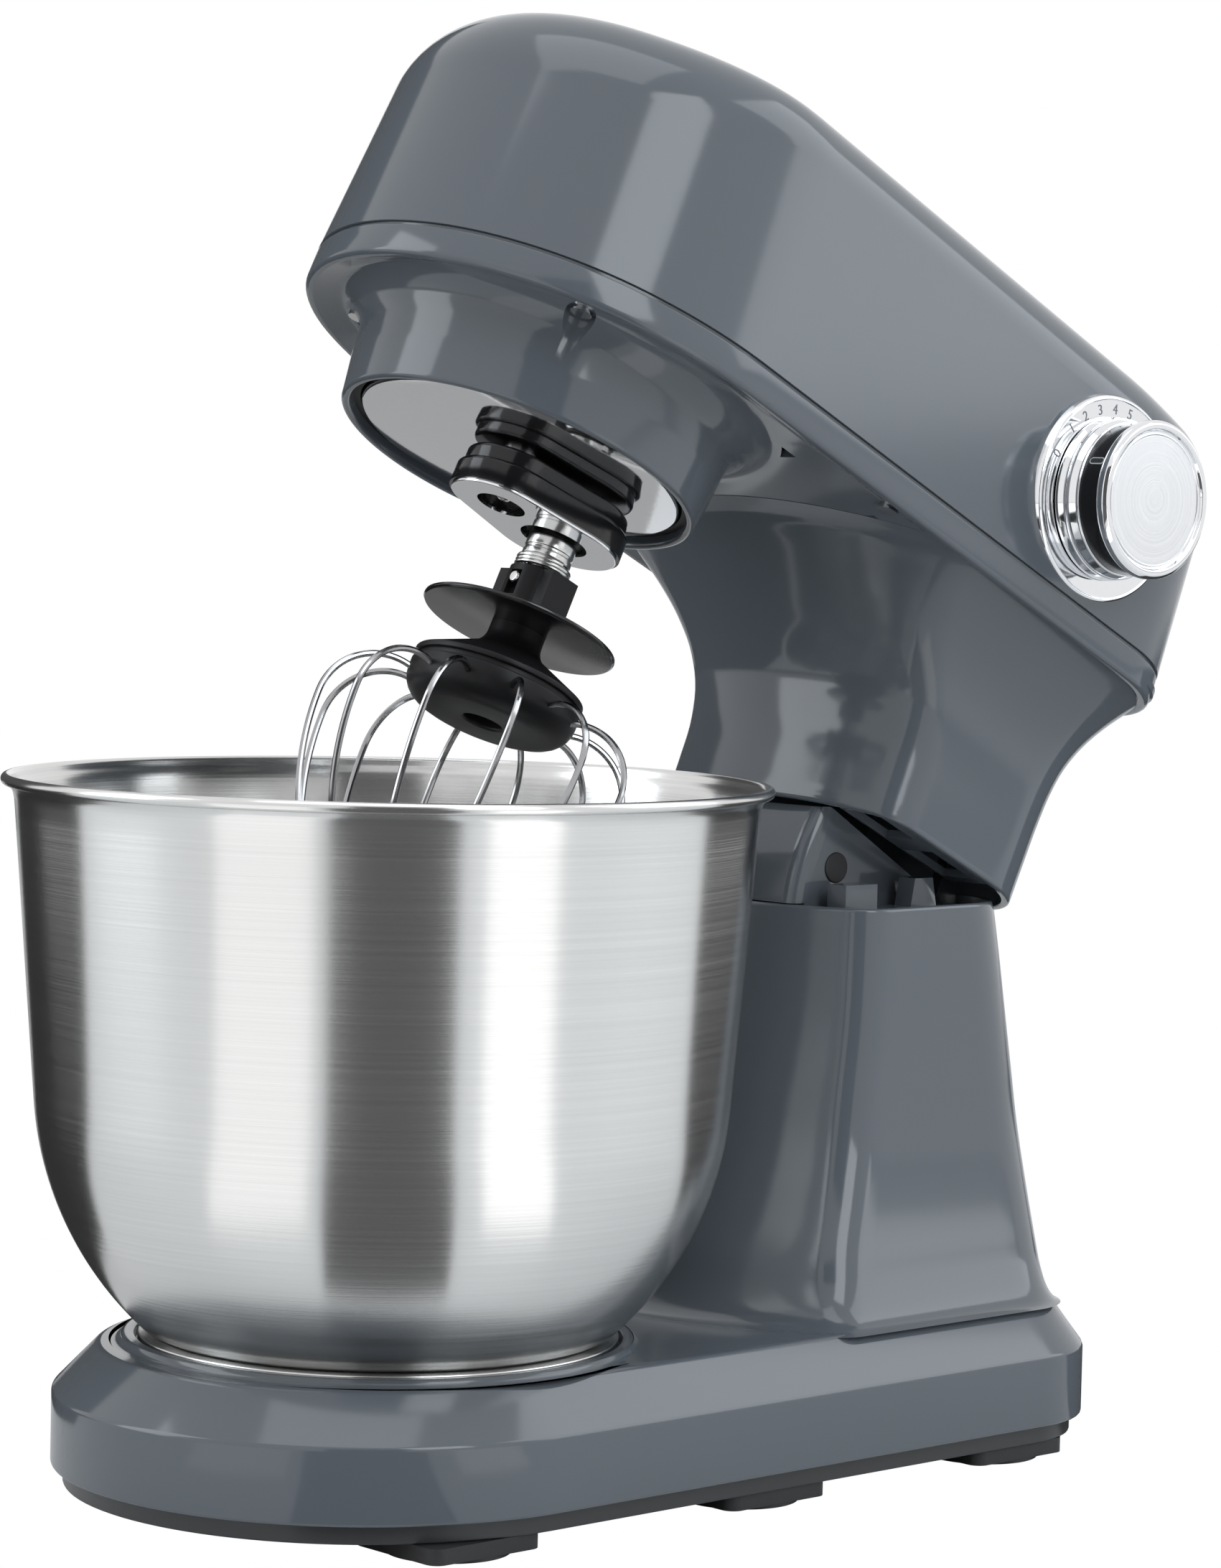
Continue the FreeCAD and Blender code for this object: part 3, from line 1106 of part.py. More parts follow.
STAND = (make_base_shell, make_bottom_plate, make_feet, make_lock_ring, make_hinge_deck, make_tower_plugs,
         make_hinge_pin, make_plate_screws, make_gland, make_button)
BOWL = (make_bowl, make_bowl_ring)
HEAD = (make_lower_housing, make_head_screws, make_top_cover, make_mouth_ring, make_neck_floor,
        make_hinge_bracket, make_head_frame, make_gearbox_case, make_ring_gear, make_bearings,
        make_motor_case, make_rotor, make_belt, make_board, make_switch, make_dial_plate)
DRIVE = (make_planet_disc, make_carrier_shaft, make_planet_arm, make_arm_plate, make_arm_screw,
         make_output_shaft, make_planet_gear, make_drive_pin, make_tool_spring)
TOOL = (make_whisk_socket, make_splash_disc, make_whisk_hub, make_whisk_cap, make_whisk_wires)
for make in STAND + BOWL + HEAD + DRIVE + TOOL + (make_knob,):
    make()
pulley("belt_wheel", S.wheel_radius, S.shaft_radius, Size(0))
pulley("motor_pulley", S.pulley_radius, S.rotor_shaft, S.motor_y)

DOC.recompute()
failed = [item.Name for item in DOC.Objects if {"Invalid", "Error"} & set(item.State)]
broken = [item.Label for item in NODES if item.Shape.isNull() or not item.Shape.isValid()]
if failed or broken:
    raise SystemExit("failed: %s; not valid: %s" % (failed, broken))
os.makedirs("parts", exist_ok=True)
for item in NODES:
    item.Shape.exportStep("parts/%s.step" % item.Label)
    print("%-22s %10.0f mm3  %d solids" % (item.Label, item.Shape.Volume, len(item.Shape.Solids)))
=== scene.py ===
import json
import math
import bmesh
import bpy
import numpy as np
from mathutils import Matrix, Vector


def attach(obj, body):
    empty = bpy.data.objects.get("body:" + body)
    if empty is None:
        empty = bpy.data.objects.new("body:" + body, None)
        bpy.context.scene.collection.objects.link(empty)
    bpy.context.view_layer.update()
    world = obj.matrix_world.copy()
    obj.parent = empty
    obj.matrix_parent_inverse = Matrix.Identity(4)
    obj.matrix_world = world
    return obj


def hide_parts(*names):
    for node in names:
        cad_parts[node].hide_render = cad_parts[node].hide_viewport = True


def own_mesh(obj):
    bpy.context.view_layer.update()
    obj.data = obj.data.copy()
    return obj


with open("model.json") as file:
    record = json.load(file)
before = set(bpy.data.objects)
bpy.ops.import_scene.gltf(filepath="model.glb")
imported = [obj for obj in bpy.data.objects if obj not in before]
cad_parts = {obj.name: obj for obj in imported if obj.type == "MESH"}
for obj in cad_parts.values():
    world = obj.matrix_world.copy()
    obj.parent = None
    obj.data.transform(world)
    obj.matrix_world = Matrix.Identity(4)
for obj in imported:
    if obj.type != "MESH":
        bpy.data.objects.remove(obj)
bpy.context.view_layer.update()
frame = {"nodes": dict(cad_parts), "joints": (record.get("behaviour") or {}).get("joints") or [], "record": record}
print("frame loaded")

# The stand mixer: +Z up, -Y front, +X the knob's side, origin under the bowl.
# Sizes in the dictionaries are millimetres and degrees; meshes are metres.
# A profile's rows are radius or inset, height and, where the corner is round, its radius.
# Heights of parts in the head are above the mouth's lip, apart from the neck's.
joints = {joint["name"]: joint for joint in frame["joints"]}
mm = 0.001
pivot = np.array(joints["head_tilt"]["pos_m"]) / mm
tilt = math.radians(joints["head_tilt"]["range_deg"][1])
lip = 217.0             # the mouth's lip above the table with the head closed
orbit = 23.75           # from the head's axis to the tool's
headBodies = ("head", "knob", "planet", "output", "whisk")      # made closed, then raised
# distances that merge or count as nothing, then angles: a sharp edge, a bevelled one, a flat one
meshing = {"merge": 0.004, "nothing": 0.002, "sharp": 34.0, "bevelled": 38.0, "flat": 1.0}


def raised(points):
    # turns points of the closed head back about the hinge pin, to the raised rest position
    points = np.asarray(points, float)
    y, z = points[..., 1] - pivot[1], points[..., 2] - pivot[2]
    return np.stack([points[..., 0], pivot[1] + y * math.cos(tilt) + z * math.sin(tilt),
                     pivot[2] - y * math.sin(tilt) + z * math.cos(tilt)], -1)


def arcPoints(centre, radius, first, last, count):
    # points on a circle between two angles in degrees
    angle = np.radians(np.linspace(first, last, count))
    return np.stack([centre[0] + radius * np.cos(angle), centre[1] + radius * np.sin(angle)], -1)


def rounded(corners, steps=5, closed=False):
    # a profile whose corners, given as across, up and radius, become arcs tangent to both sides
    corners = [tuple(corner) + (0.0,) * (3 - len(corner)) for corner in corners]
    rows = []
    for index, (across, up, radius) in enumerate(corners):
        here = np.array([across, up])
        if radius == 0 or (not closed and index in (0, len(corners) - 1)):
            rows.append(here[None])
            continue
        before = np.array(corners[index - 1][:2]) - here
        after = np.array(corners[(index + 1) % len(corners)][:2]) - here
        before, after = before / np.linalg.norm(before), after / np.linalg.norm(after)
        half = math.acos(np.clip(before @ after, -1, 1)) / 2
        middle = here + (before + after) / np.linalg.norm(before + after) * radius / math.sin(half)
        start = here + before * radius / math.tan(half) - middle
        end = here + after * radius / math.tan(half) - middle
        part = np.linspace(0, 1, steps + 1)[:, None]
        sweep = math.pi - 2 * half
        arc = start * np.sin((1 - part) * sweep) + end * np.sin(part * sweep)
        rows.append(middle + arc / math.sin(sweep))
    if closed:
        rows.append(rows[0][:1])
    return np.concatenate(rows)


def smoothRows(table, count):
    # a smooth curve through every column of a table: cubic pieces with matching slopes
    table = np.asarray(table, float)
    steps = np.linalg.norm(np.diff(table, axis=0), axis=1)
    place = np.concatenate([[0], np.cumsum(steps)])
    slope = np.gradient(table, place, axis=0)
    wanted = np.linspace(0, place[-1], count)
    piece = np.clip(np.searchsorted(place, wanted, "right") - 1, 0, len(place) - 2)
    width = (place[piece + 1] - place[piece])[:, None]
    t = (wanted[:, None] - place[piece][:, None]) / width
    fromSlope, toSlope = width * slope[piece], width * slope[piece + 1]
    return ((2 * t ** 3 - 3 * t ** 2 + 1) * table[piece] + (t ** 3 - 2 * t ** 2 + t) * fromSlope
            + (3 * t ** 2 - 2 * t ** 3) * table[piece + 1] + (t ** 3 - t ** 2) * toSlope)


def planLoop(half, front, rear, bulge, corner, rearCorner, inset, counts):
    # a bulged front, side arcs, straight sides and a flat rear with round corners; rows of the
    # arguments become rows of outlines, each drawn from the front's middle round by +X and back;
    # counts are the points of each of those five stretches
    inset = np.asarray(inset, float)
    half, front, rear, bulge, corner, rearCorner, inset = np.broadcast_arrays(
        *[np.reshape(np.asarray(value, float), (-1, 1)) for value in
          (half, front, rear, bulge, corner, rearCorner, inset)])
    half, front, rear = half - inset, front + inset, rear - inset
    bulge, corner, rearCorner = bulge - inset, corner - inset, rearCorner - inset
    middle, apart = front + bulge, bulge - corner
    drop = np.sqrt(np.maximum(apart ** 2 - (half - corner) ** 2, 0))
    side = middle - np.sign(apart) * drop
    join = np.arctan2((side - middle) / apart, (half - corner) / apart)
    share = [np.linspace(0, 1, count)[None] for count in counts]
    turn = -np.pi / 2 + (join + np.pi / 2) * share[0]
    lean = join * (1 - share[1][:, 1:])
    back = np.pi / 2 * share[3]
    across = [bulge * np.cos(turn), half - corner + corner * np.cos(lean),
              half + 0 * share[2][:, 1:-1], half - rearCorner + rearCorner * np.cos(back),
              (half - rearCorner) * (1 - share[4][:, 1:])]
    along = [middle + bulge * np.sin(turn), side + corner * np.sin(lean),
             side + (rear - rearCorner - side) * share[2][:, 1:-1],
             rear - rearCorner + rearCorner * np.sin(back), rear + 0 * share[4][:, 1:]]
    right = np.stack([np.concatenate(across, 1), np.concatenate(along, 1)], -1)
    left = right[:, -2::-1] * (-1, 1)
    return np.concatenate([right, left], 1)


def boxLoop(halfX, halfY, corner, inset=0.0, steps=6):
    # a rectangle with round corners, from the middle of +X round to itself
    inset = np.reshape(np.asarray(inset, float), (-1, 1))
    halfX, halfY, corner = halfX - inset, halfY - inset, np.maximum(corner - inset, 0.01)
    angle = np.linspace(0, 2 * np.pi, 4 * steps + 1)
    angle = np.concatenate([angle[i * steps:(i + 1) * steps + 1] for i in range(4)])[None]
    signX = np.repeat([1, -1, -1, 1], steps + 1)[None]
    signY = np.repeat([1, 1, -1, -1], steps + 1)[None]
    loop = np.stack([signX * (halfX - corner) + corner * np.cos(angle),
                     signY * (halfY - corner) + corner * np.sin(angle)], -1)
    return np.concatenate([loop, loop[:, :1]], 1)


def atHeights(loops, heights):
    # gives every row of outlines its height
    heights = np.broadcast_to(np.reshape(heights, (-1, 1)), loops.shape[:2])
    return np.concatenate([loops, heights[..., None]], -1)


def swept(outline, profile):
    # carries a profile of inset and height round an outline
    profile = np.asarray(profile, float)
    return atHeights(outline(profile[:, 0]), profile[:, 1])


def turned(profile, steps=96, start=90.0):
    # turns a profile of radius and height about the vertical axis
    profile = np.asarray(profile, float)
    angle = np.radians(start + np.linspace(0, 360, steps + 1))[None]
    radius = profile[:, :1]
    return atHeights(np.stack([radius * np.cos(angle), radius * np.sin(angle)], -1), profile[:, 1])


def cylinder(radius, low, high, steps=48):
    # an upright cylinder with closed ends, for cutting round holes
    return turned([(0, low), (radius, low), (radius, high), (0, high)], steps)


def capRow(row, near, far):
    # the row drawn in to a line along the middle, which closes an outline's flat end
    flat = row.copy()
    flat[:, 0] = 0
    flat[:, 1] = np.clip(row[:, 1], near, far)
    return flat[None]


def capped(grid, near, far):
    # closes both flat ends of a grid
    return np.concatenate([capRow(grid[0], near, far), grid, capRow(grid[-1], near, far)])


def tube(path, radius, reference, sides=12):
    # a round wire: circles square to the path, kept level by one reference direction
    path = np.asarray(path, float)
    tangent = np.gradient(path, axis=0)
    tangent /= np.linalg.norm(tangent, axis=1)[:, None]
    side = np.cross(tangent, np.asarray(reference, float))
    side /= np.linalg.norm(side, axis=1)[:, None]
    above = np.cross(side, tangent)
    angle = np.linspace(0, 2 * np.pi, sides + 1)[None, :, None]
    ring = path[:, None] + radius * (side[:, None] * np.cos(angle) + above[:, None] * np.sin(angle))
    ends = [np.repeat(path[end][None, None], sides + 1, 1) for end in (0, -1)]
    return np.concatenate([ends[0], ring, ends[1]])


def moved(grid, x=0.0, y=0.0, z=0.0):
    # shifts a grid
    return grid + np.array([x, y, z])


def spun(grid, degrees):
    # turns a grid about the vertical axis
    cosine, sine = math.cos(math.radians(degrees)), math.sin(math.radians(degrees))
    return grid @ np.array([[cosine, sine, 0], [-sine, cosine, 0], [0, 0, 1]])


def sideways(grid, y, z):
    # lays a shape turned about the vertical axis along +X, about the axis at y and z
    return np.stack([grid[..., 2], grid[..., 0] + y, grid[..., 1] + z], -1)


def turnedInHead(profile, rounding, steps, y=0.0, closed=False):
    # a rounded profile turned about an upright line of the closed head
    return moved(turned(rounded(profile, rounding, closed), steps), y=y, z=lip)


def gridMesh(name, grids):
    # quads between neighbouring points; the UV map is metres along the columns and the rows
    points, quads, uvs, first = [], [], [], 0
    for grid in grids:
        grid = grid * mm
        rows, columns = grid.shape[:2]
        index = first + np.arange(rows * columns).reshape(rows, columns)
        corners = [index[:-1, :-1], index[:-1, 1:], index[1:, 1:], index[1:, :-1]]
        quads.append(np.stack(corners, -1).reshape(-1, 4))
        down = np.linalg.norm(np.diff(grid, axis=0), axis=-1).mean(1)
        across = np.linalg.norm(np.diff(grid, axis=1), axis=-1).max(0)
        v, u = np.meshgrid(np.append(0, down.cumsum()), np.append(0, across.cumsum()),
                           indexing="ij")
        uvs.append(np.stack([u, v], -1).reshape(-1, 2))
        points.append(grid.reshape(-1, 3))
        first += rows * columns
    quads = np.concatenate(quads)
    mesh = bpy.data.meshes.new(name)
    mesh.from_pydata(np.concatenate(points), [], quads)
    mesh.uv_layers.new(name="UVMap").data.foreach_set("uv", np.concatenate(uvs)[quads].ravel())
    return mesh


def cleaned(mesh, sharpAngle):
    # merges doubled points at seams and poles, drops what they leave empty and turns faces outwards
    work = bmesh.new()
    work.from_mesh(mesh)
    bmesh.ops.remove_doubles(work, verts=work.verts, dist=meshing["merge"] * mm)
    bmesh.ops.dissolve_degenerate(work, edges=work.edges, dist=meshing["nothing"] * mm)
    bmesh.ops.recalc_face_normals(work, faces=work.faces)
    work.to_mesh(mesh)
    work.free()
    mesh.shade_smooth()
    mesh.set_sharp_from_angle(angle=math.radians(sharpAngle))


def drilled(mesh, cutterMesh, sharpAngle):
    # takes the cutting shapes out of a mesh
    item, cutter = [bpy.data.objects.new(data.name, data) for data in (mesh, cutterMesh)]
    for thing in (item, cutter):
        bpy.context.scene.collection.objects.link(thing)
    hole = item.modifiers.new("holes", "BOOLEAN")
    hole.operation, hole.solver, hole.object, hole.use_self = "DIFFERENCE", "EXACT", cutter, True
    bpy.context.view_layer.update()
    seen = item.evaluated_get(bpy.context.evaluated_depsgraph_get())
    result = bpy.data.meshes.new_from_object(seen)
    bpy.data.objects.remove(item)
    bpy.data.objects.remove(cutter)
    result.name = cutterMesh.name + "Cut"
    result.set_sharp_from_angle(angle=math.radians(sharpAngle))
    return result


def piece(name, grids, finish, body, slot, *nodes, sharpAngle=meshing["sharp"], holes=None):
    # makes grids one clean mesh, takes the holes out of it and puts it on its body
    place = raised if body in headBodies else np.asarray
    grids = grids if isinstance(grids, list) else [grids]
    mesh = gridMesh(name, [place(grid) for grid in grids])
    cleaned(mesh, sharpAngle)
    if holes:
        cutter = gridMesh(name + "Holes", [place(grid) for grid in holes])
        cleaned(cutter, sharpAngle)
        mesh = drilled(mesh, cutter, sharpAngle)
    return placed(name, mesh, finish, body, nodes)


def placed(name, mesh, finish, body, nodes, bevel=0.0):
    # the object of a piece, with its finish, its body and the nodes it stands in for
    item = bpy.data.objects.new(name, mesh)
    bpy.context.scene.collection.objects.link(item)
    mesh.materials.clear()
    mesh.materials.append(finishes[finish])
    if bevel:
        edge = item.modifiers.new("softEdge", "BEVEL")
        edge.width, edge.segments, edge.limit_method = bevel * mm, 2, "ANGLE"
        edge.angle_limit = math.radians(meshing["bevelled"])
        edge.harden_normals = True
    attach(item, body)
    if nodes:
        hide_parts(*nodes)
    return item


def softened(name, node, finish, body, slot, width):
    # a merged copy of a CAD node whose sharp edges get a small round
    mesh = frame["nodes"][node].data.copy()
    mesh.name = name
    work = bmesh.new()
    work.from_mesh(mesh)
    bmesh.ops.remove_doubles(work, verts=work.verts, dist=meshing["nothing"] * mm)
    bmesh.ops.dissolve_limit(work, angle_limit=math.radians(meshing["flat"]), verts=work.verts,
                             edges=work.edges)
    work.to_mesh(mesh)
    work.free()
    mesh.shade_smooth()
    mesh.set_sharp_from_angle(angle=math.radians(meshing["sharp"]))
    return placed(name, mesh, finish, body, [node], width)


class Wire:
    # a shader socket that takes part in Python sums
    def __init__(self, graph, socket):
        self.graph, self.socket = graph, socket

    def math(self, operation, other):
        return self.graph.node("Math", {"operation": operation}, [self, other])

    def __add__(self, other):
        return self.math("ADD", other)

    def __mul__(self, other):
        return self.math("MULTIPLY", other)

    __radd__, __rmul__ = __add__, __mul__


class Graph:
    # the nodes of one material, or of the world; set feeds the sockets of its own shader
    def __init__(self, owner, shader="Principled BSDF"):
        owner.use_nodes = True
        self.owner, self.tree = owner, owner.node_tree
        self.shader = self.tree.nodes[shader]

    def node(self, kind, settings=None, values=(), out=0):
        node = self.tree.nodes.new("ShaderNode" + kind)
        for name, value in (settings or {}).items():
            setattr(node, name, value)
        pairs = values.items() if isinstance(values, dict) else enumerate(values)
        for name, value in pairs:
            self.feed(node.inputs[name], value)
        return Wire(self, node.outputs[out])

    def feed(self, socket, value):
        if isinstance(value, Wire):
            self.tree.links.new(value.socket, socket)
        else:
            socket.default_value = value

    def set(self, values):
        for name, value in values.items():
            self.feed(self.shader.inputs[name], value)

    def noise(self, scale, detail, along="object", stretch=None):
        place = self.node("TexCoord", out={"object": 3, "surface": 2}[along])
        if stretch:
            place = self.node("Mapping", {}, {0: place, 3: stretch})
        return self.node("TexNoise", {}, {"Vector": place, "Scale": scale, "Detail": detail})

    def blend(self, factor, first, second):
        return self.node("Mix", {"data_type": "RGBA"}, {0: factor, 6: first, 7: second}, 2)

    def bump(self, height, strength, distance):
        self.set({"Normal": self.node("Bump", {}, {"Height": height, "Strength": strength,
                                                   "Distance": distance})})


def tint(colour, share=1.0):
    # a colour made lighter or darker, with full alpha
    return tuple(value * share for value in colour) + (1.0,)


def plastic(name, colour, rough, cloud=0.03, grain=900.0, strength=0.04, fixed=None):
    # moulded plastic: faint clouds in its colour and gloss, and a fine skin
    graph = Graph(bpy.data.materials.new(name))
    soft = graph.noise(scale=14.0, detail=4.0)
    graph.set({"Base Color": graph.blend(soft, tint(colour, 1 - cloud), tint(colour, 1 + cloud)),
               "Roughness": soft * (rough * 0.4) + rough * 0.8, **(fixed or {})})
    graph.bump(graph.noise(scale=grain, detail=2.0), strength, distance=0.0002)
    return graph.owner


def metal(name, colour, rough, spread=0.02, grain=600.0, strength=0.03):
    # polished or plain metal with a little unevenness
    graph = Graph(bpy.data.materials.new(name))
    fine = graph.noise(scale=grain, detail=3.0)
    graph.set({"Base Color": graph.blend(fine, tint(colour, 0.96), tint(colour)), "Metallic": 1.0,
               "Roughness": fine * (spread * 2) + (rough - spread)})
    graph.bump(fine, strength, distance=0.00015)
    return graph.owner


def brushed(name, colour, rough, spread, along, across, strength, fixed=None):
    # fine lines along the surface's first direction: long noise cells with thin ones upon them
    graph = Graph(bpy.data.materials.new(name))
    coarse = graph.noise(1.0, 5.0, "surface", (along, across, 1))
    fine = graph.noise(1.0, 2.0, "surface", (along * 3, across * 4, 1))
    lines = coarse * 0.6 + fine * 0.4
    graph.set({"Base Color": graph.blend(lines, tint(colour, 0.78), tint(colour, 1.10)),
               "Metallic": 1.0, "Roughness": lines * (spread * 2) + (rough - spread),
               **(fixed or {})})
    graph.bump(lines, strength, distance=0.00012)
    return graph.owner


finishes = {
    "housing": plastic("housingGrey", (0.100, 0.115, 0.133), 0.11, 0.015, strength=0.010),
    "black": plastic("blackGloss", (0.010, 0.010, 0.011), 0.13),
    "satin": plastic("darkSatin", (0.030, 0.032, 0.035), 0.30, grain=1500.0, strength=0.10),
    "matte": plastic("hubSatin", (0.009, 0.009, 0.010), 0.36, grain=1500.0, strength=0.06,
                     fixed={"Specular IOR Level": 0.22}),
    "rubber": plastic("rubberBlack", (0.016, 0.016, 0.017), 0.55, grain=1800.0, strength=0.25),
    "board": plastic("boardGreen", (0.03, 0.12, 0.06), 0.4),
    "ink": plastic("dialInk", (0.16, 0.17, 0.18), 0.5),
    "pale": plastic("indexWhite", (0.55, 0.56, 0.57), 0.4),
    "chrome": metal("chromePlate", (0.80, 0.81, 0.83), 0.06, 0.015),
    "zinc": metal("zincPlate", (0.66, 0.66, 0.65), 0.20, 0.05),
    "steel": metal("brightSteel", (0.68, 0.68, 0.68), 0.20),
    "wire": metal("whiskSteel", (0.40, 0.40, 0.41), 0.16),
    "bowl": brushed("brushedBowl", (0.72, 0.72, 0.715), 0.22, 0.05, 2.5, 900.0, 0.34,
                    fixed={"Anisotropic": 0.8, "Anisotropic Rotation": 0.25}),
    "spun": brushed("spunDisc", (0.80, 0.81, 0.83), 0.24, 0.05, 6.0, 2600.0, 0.12),
    "cast": metal("castMetal", (0.5, 0.5, 0.5), 0.45, 0.05, 300.0, 0.2),
}
nodeFinish = {"grey_plastic": "housing", "black_plastic": "black", "dark_plastic": "satin",
              "chrome_plastic": "chrome", "board": "board", "steel": "steel",
              "brushed_steel": "bowl", "chrome": "chrome", "cast_metal": "cast",
              "rubber": "rubber"}
for part in frame["record"]["subparts"]:
    mesh = frame["nodes"][part["node"]].data
    mesh.materials.clear()
    mesh.materials.append(finishes[nodeFinish[part["material_slot"]]])
print("materials made")

# the bowl: a flat floor, an arc tangent to a straight wall, a tight flare and a rolled rim
bowl = {"rimRadius": 112.95, "rimHeight": 212.0, "bead": 1.65, "roll": (-110, 165), "wall": 1.0,
        "topRadius": 108.9, "topHeight": 204.8, "lowRadius": 102.0, "lowHeight": 116.8,
        "arc": 100.0, "heelRadius": 69.5, "heelHeight": 50.75, "flat": 66.0, "flatRound": 3.0,
        "floor": 49.0, "flareOutside": [(109.6, 207.2), (110.7, 208.7)],
        "flareInside": [(109.55, 209.55), (108.5, 207.4)], "sharp": 50.0,
        "footRing": [(66.4, 45.5, 0.6), (70.8, 45.5, 0.8), (70.8, 48.9, 0.4), (62.0, 48.9),
                     (62.0, 47.8), (66.4, 47.8)]}


def bowlProfile():
    # up the outside from the pole, round the rolled rim and down the inside again
    run, rise = bowl["topRadius"] - bowl["lowRadius"], bowl["topHeight"] - bowl["lowHeight"]
    slant = math.hypot(run, rise)
    centre = (bowl["lowRadius"] - bowl["arc"] * rise / slant,
              bowl["lowHeight"] + bowl["arc"] * run / slant)
    last = -math.degrees(math.atan2(run, rise))
    sides = []
    for wall in (0.0, bowl["wall"]):
        radius, floor = bowl["arc"] - wall, bowl["floor"] + wall
        first = -math.degrees(math.acos((bowl["heelRadius"] - centre[0]) / radius))
        heel = rounded([(0, floor), (bowl["flat"], floor, bowl["flatRound"]),
                        (bowl["heelRadius"], bowl["heelHeight"] + wall)])
        flat = np.linspace((0, floor), heel[1], 12)[:-1]
        side = arcPoints(centre, radius, first, last, 30)
        straight = np.linspace(side[-1], (bowl["topRadius"] - wall, bowl["topHeight"]), 14)[1:]
        sides.append(np.concatenate([flat, heel[1:-1], side, straight]))
    outer, inner = sides
    middle = (bowl["rimRadius"] - bowl["bead"], bowl["rimHeight"] - bowl["bead"])
    flare = smoothRows([outer[-1], *bowl["flareOutside"]], 8)[1:-1]
    roll = arcPoints(middle, bowl["bead"], *bowl["roll"], 16)
    back = smoothRows([*bowl["flareInside"], inner[-1]], 8)[:-1]
    return np.concatenate([outer, flare, roll, back, inner[::-1]])


piece("mixingBowl", turned(bowlProfile(), 192), "bowl", "bowl", "brushed_steel", "bowl",
      sharpAngle=bowl["sharp"])
piece("footRing", turned(rounded(bowl["footRing"], 3, True), 144), "bowl", "bowl",
      "brushed_steel", "bowl_foot_ring", sharpAngle=bowl["sharp"])
print("bowl made")

# the base: its edge profile goes round the outline, its boss profile round the bowl's axis;
# behind steepFrom the slope between band and deck is made steeper
base = {"half": 89.6, "front": -97.0, "rear": 236.0, "sideArc": 20.0, "corner": 40.0,
        "counts": (48, 1, 56, 14, 12), "band": 33.0, "deck": 46.5, "spine": (-10.12, 149.12),
        "steepFrom": 100.0, "steepRun": 100.0, "steepen": 4.0,
        "edge": [(26.88, 11.2), (0, 11.2, 1.0), (0, 33.0, 2.2), (13.0, 46.5, 3.0), (17.0, 46.5)],
        "boss": [(79.2, 46.5), (75.2, 46.5, 2.0), (75.2, 48.5, 0.6), (71.8, 48.5, 0.5),
                 (71.8, 45.2, 0.3), (0, 45.2)]}


def baseOutline(inset):
    # a half circle in front, straight sides and round rear corners
    return planLoop(base["half"], base["front"], base["rear"], base["half"], base["sideArc"],
                    base["corner"], inset, base["counts"])


def baseGrid():
    # the band, the slope and the deck round the outline, then the boss and the seat turned in it
    edge, boss = rounded(base["edge"], 6), rounded(base["boss"], 4)
    rows = swept(baseOutline, edge)
    climb = np.clip((edge[:, 1] - base["band"]) / (base["deck"] - base["band"]), 0, 1)[:, None]
    rearward = np.clip((rows[..., 1] - base["steepFrom"]) / base["steepRun"], 0, 1)
    rows[..., 1] += rearward * base["steepen"] * climb
    angle = np.arctan2(rows[-1, :, 1], rows[-1, :, 0])[None]
    rings = np.stack([boss[:, :1] * np.cos(angle), boss[:, :1] * np.sin(angle)], -1)
    return np.concatenate([capRow(rows[0], *base["spine"]), rows, atHeights(rings, boss[:, 1])])


column = {"bulge": 115.0, "frontCorner": 15.0, "rearCorner": 25.0, "counts": (16, 10, 14, 12, 10),
          "sidesTop": 169.5, "rim": [(0, 169.6), (0, 171.0, 1.2), (2.0, 171.0, 0.5), (2.0, 140.0)],
          "footSpine": (124.0, 186.5), "floorSpine": (169.0, 187.8),
          "button": {"radius": 8.4, "outside": -70.0, "inside": -46.5, "y": 178.0, "z": 128.0},
          # height, half width, front and rear, from the foot that runs out into the deck to the top
          "levels": [(45.9, 80.0, 84.0, 226.5), (46.7, 76.6, 90.0, 227.0),
                     (50.0, 72.8, 96.5, 227.6), (56.0, 69.4, 101.5, 228.2),
                     (66.0, 66.2, 106.5, 228.5), (82.0, 61.8, 115.5, 228.6),
                     (100.0, 58.0, 123.6, 228.0), (118.0, 56.0, 128.6, 226.6),
                     (137.0, 54.5, 133.0, 224.5), (155.0, 53.4, 135.4, 222.2),
                     (171.0, 52.5, 137.0, 219.8)]}


def loftOutline(part, inset, levels):
    # the column's or the neck's outline at every level, or one level's at every inset
    return planLoop(levels[:, 1], levels[:, 2], levels[:, 3], part["bulge"], part["frontCorner"],
                    part["rearCorner"], inset, part["counts"])


def columnGrid():
    # a lofted outline whose sizes follow smooth curves up the column, with a rolled top edge
    outer = smoothRows(column["levels"], 46)
    outer = outer[outer[:, 0] < column["sidesTop"]]
    edge, top = rounded(column["rim"], 4), np.array(column["levels"][-1:])
    sides = atHeights(loftOutline(column, 0.0, outer), outer[:, 0])
    rim = atHeights(loftOutline(column, edge[:, 0], top), edge[:, 1])
    return np.concatenate([capRow(sides[0], *column["footSpine"]), sides, rim,
                           capRow(rim[-1], *column["floorSpine"])])


def buttonHole():
    # the release button's round hole in the column's side
    button = column["button"]
    cutter = cylinder(button["radius"], button["outside"], button["inside"])
    return [sideways(cutter, button["y"], button["z"])]


piece("standBase", baseGrid(), "housing", "stand", "grey_plastic", "base_shell")
piece("column", columnGrid(), "housing", "stand", "grey_plastic", holes=buttonHole())
print("base and column made")

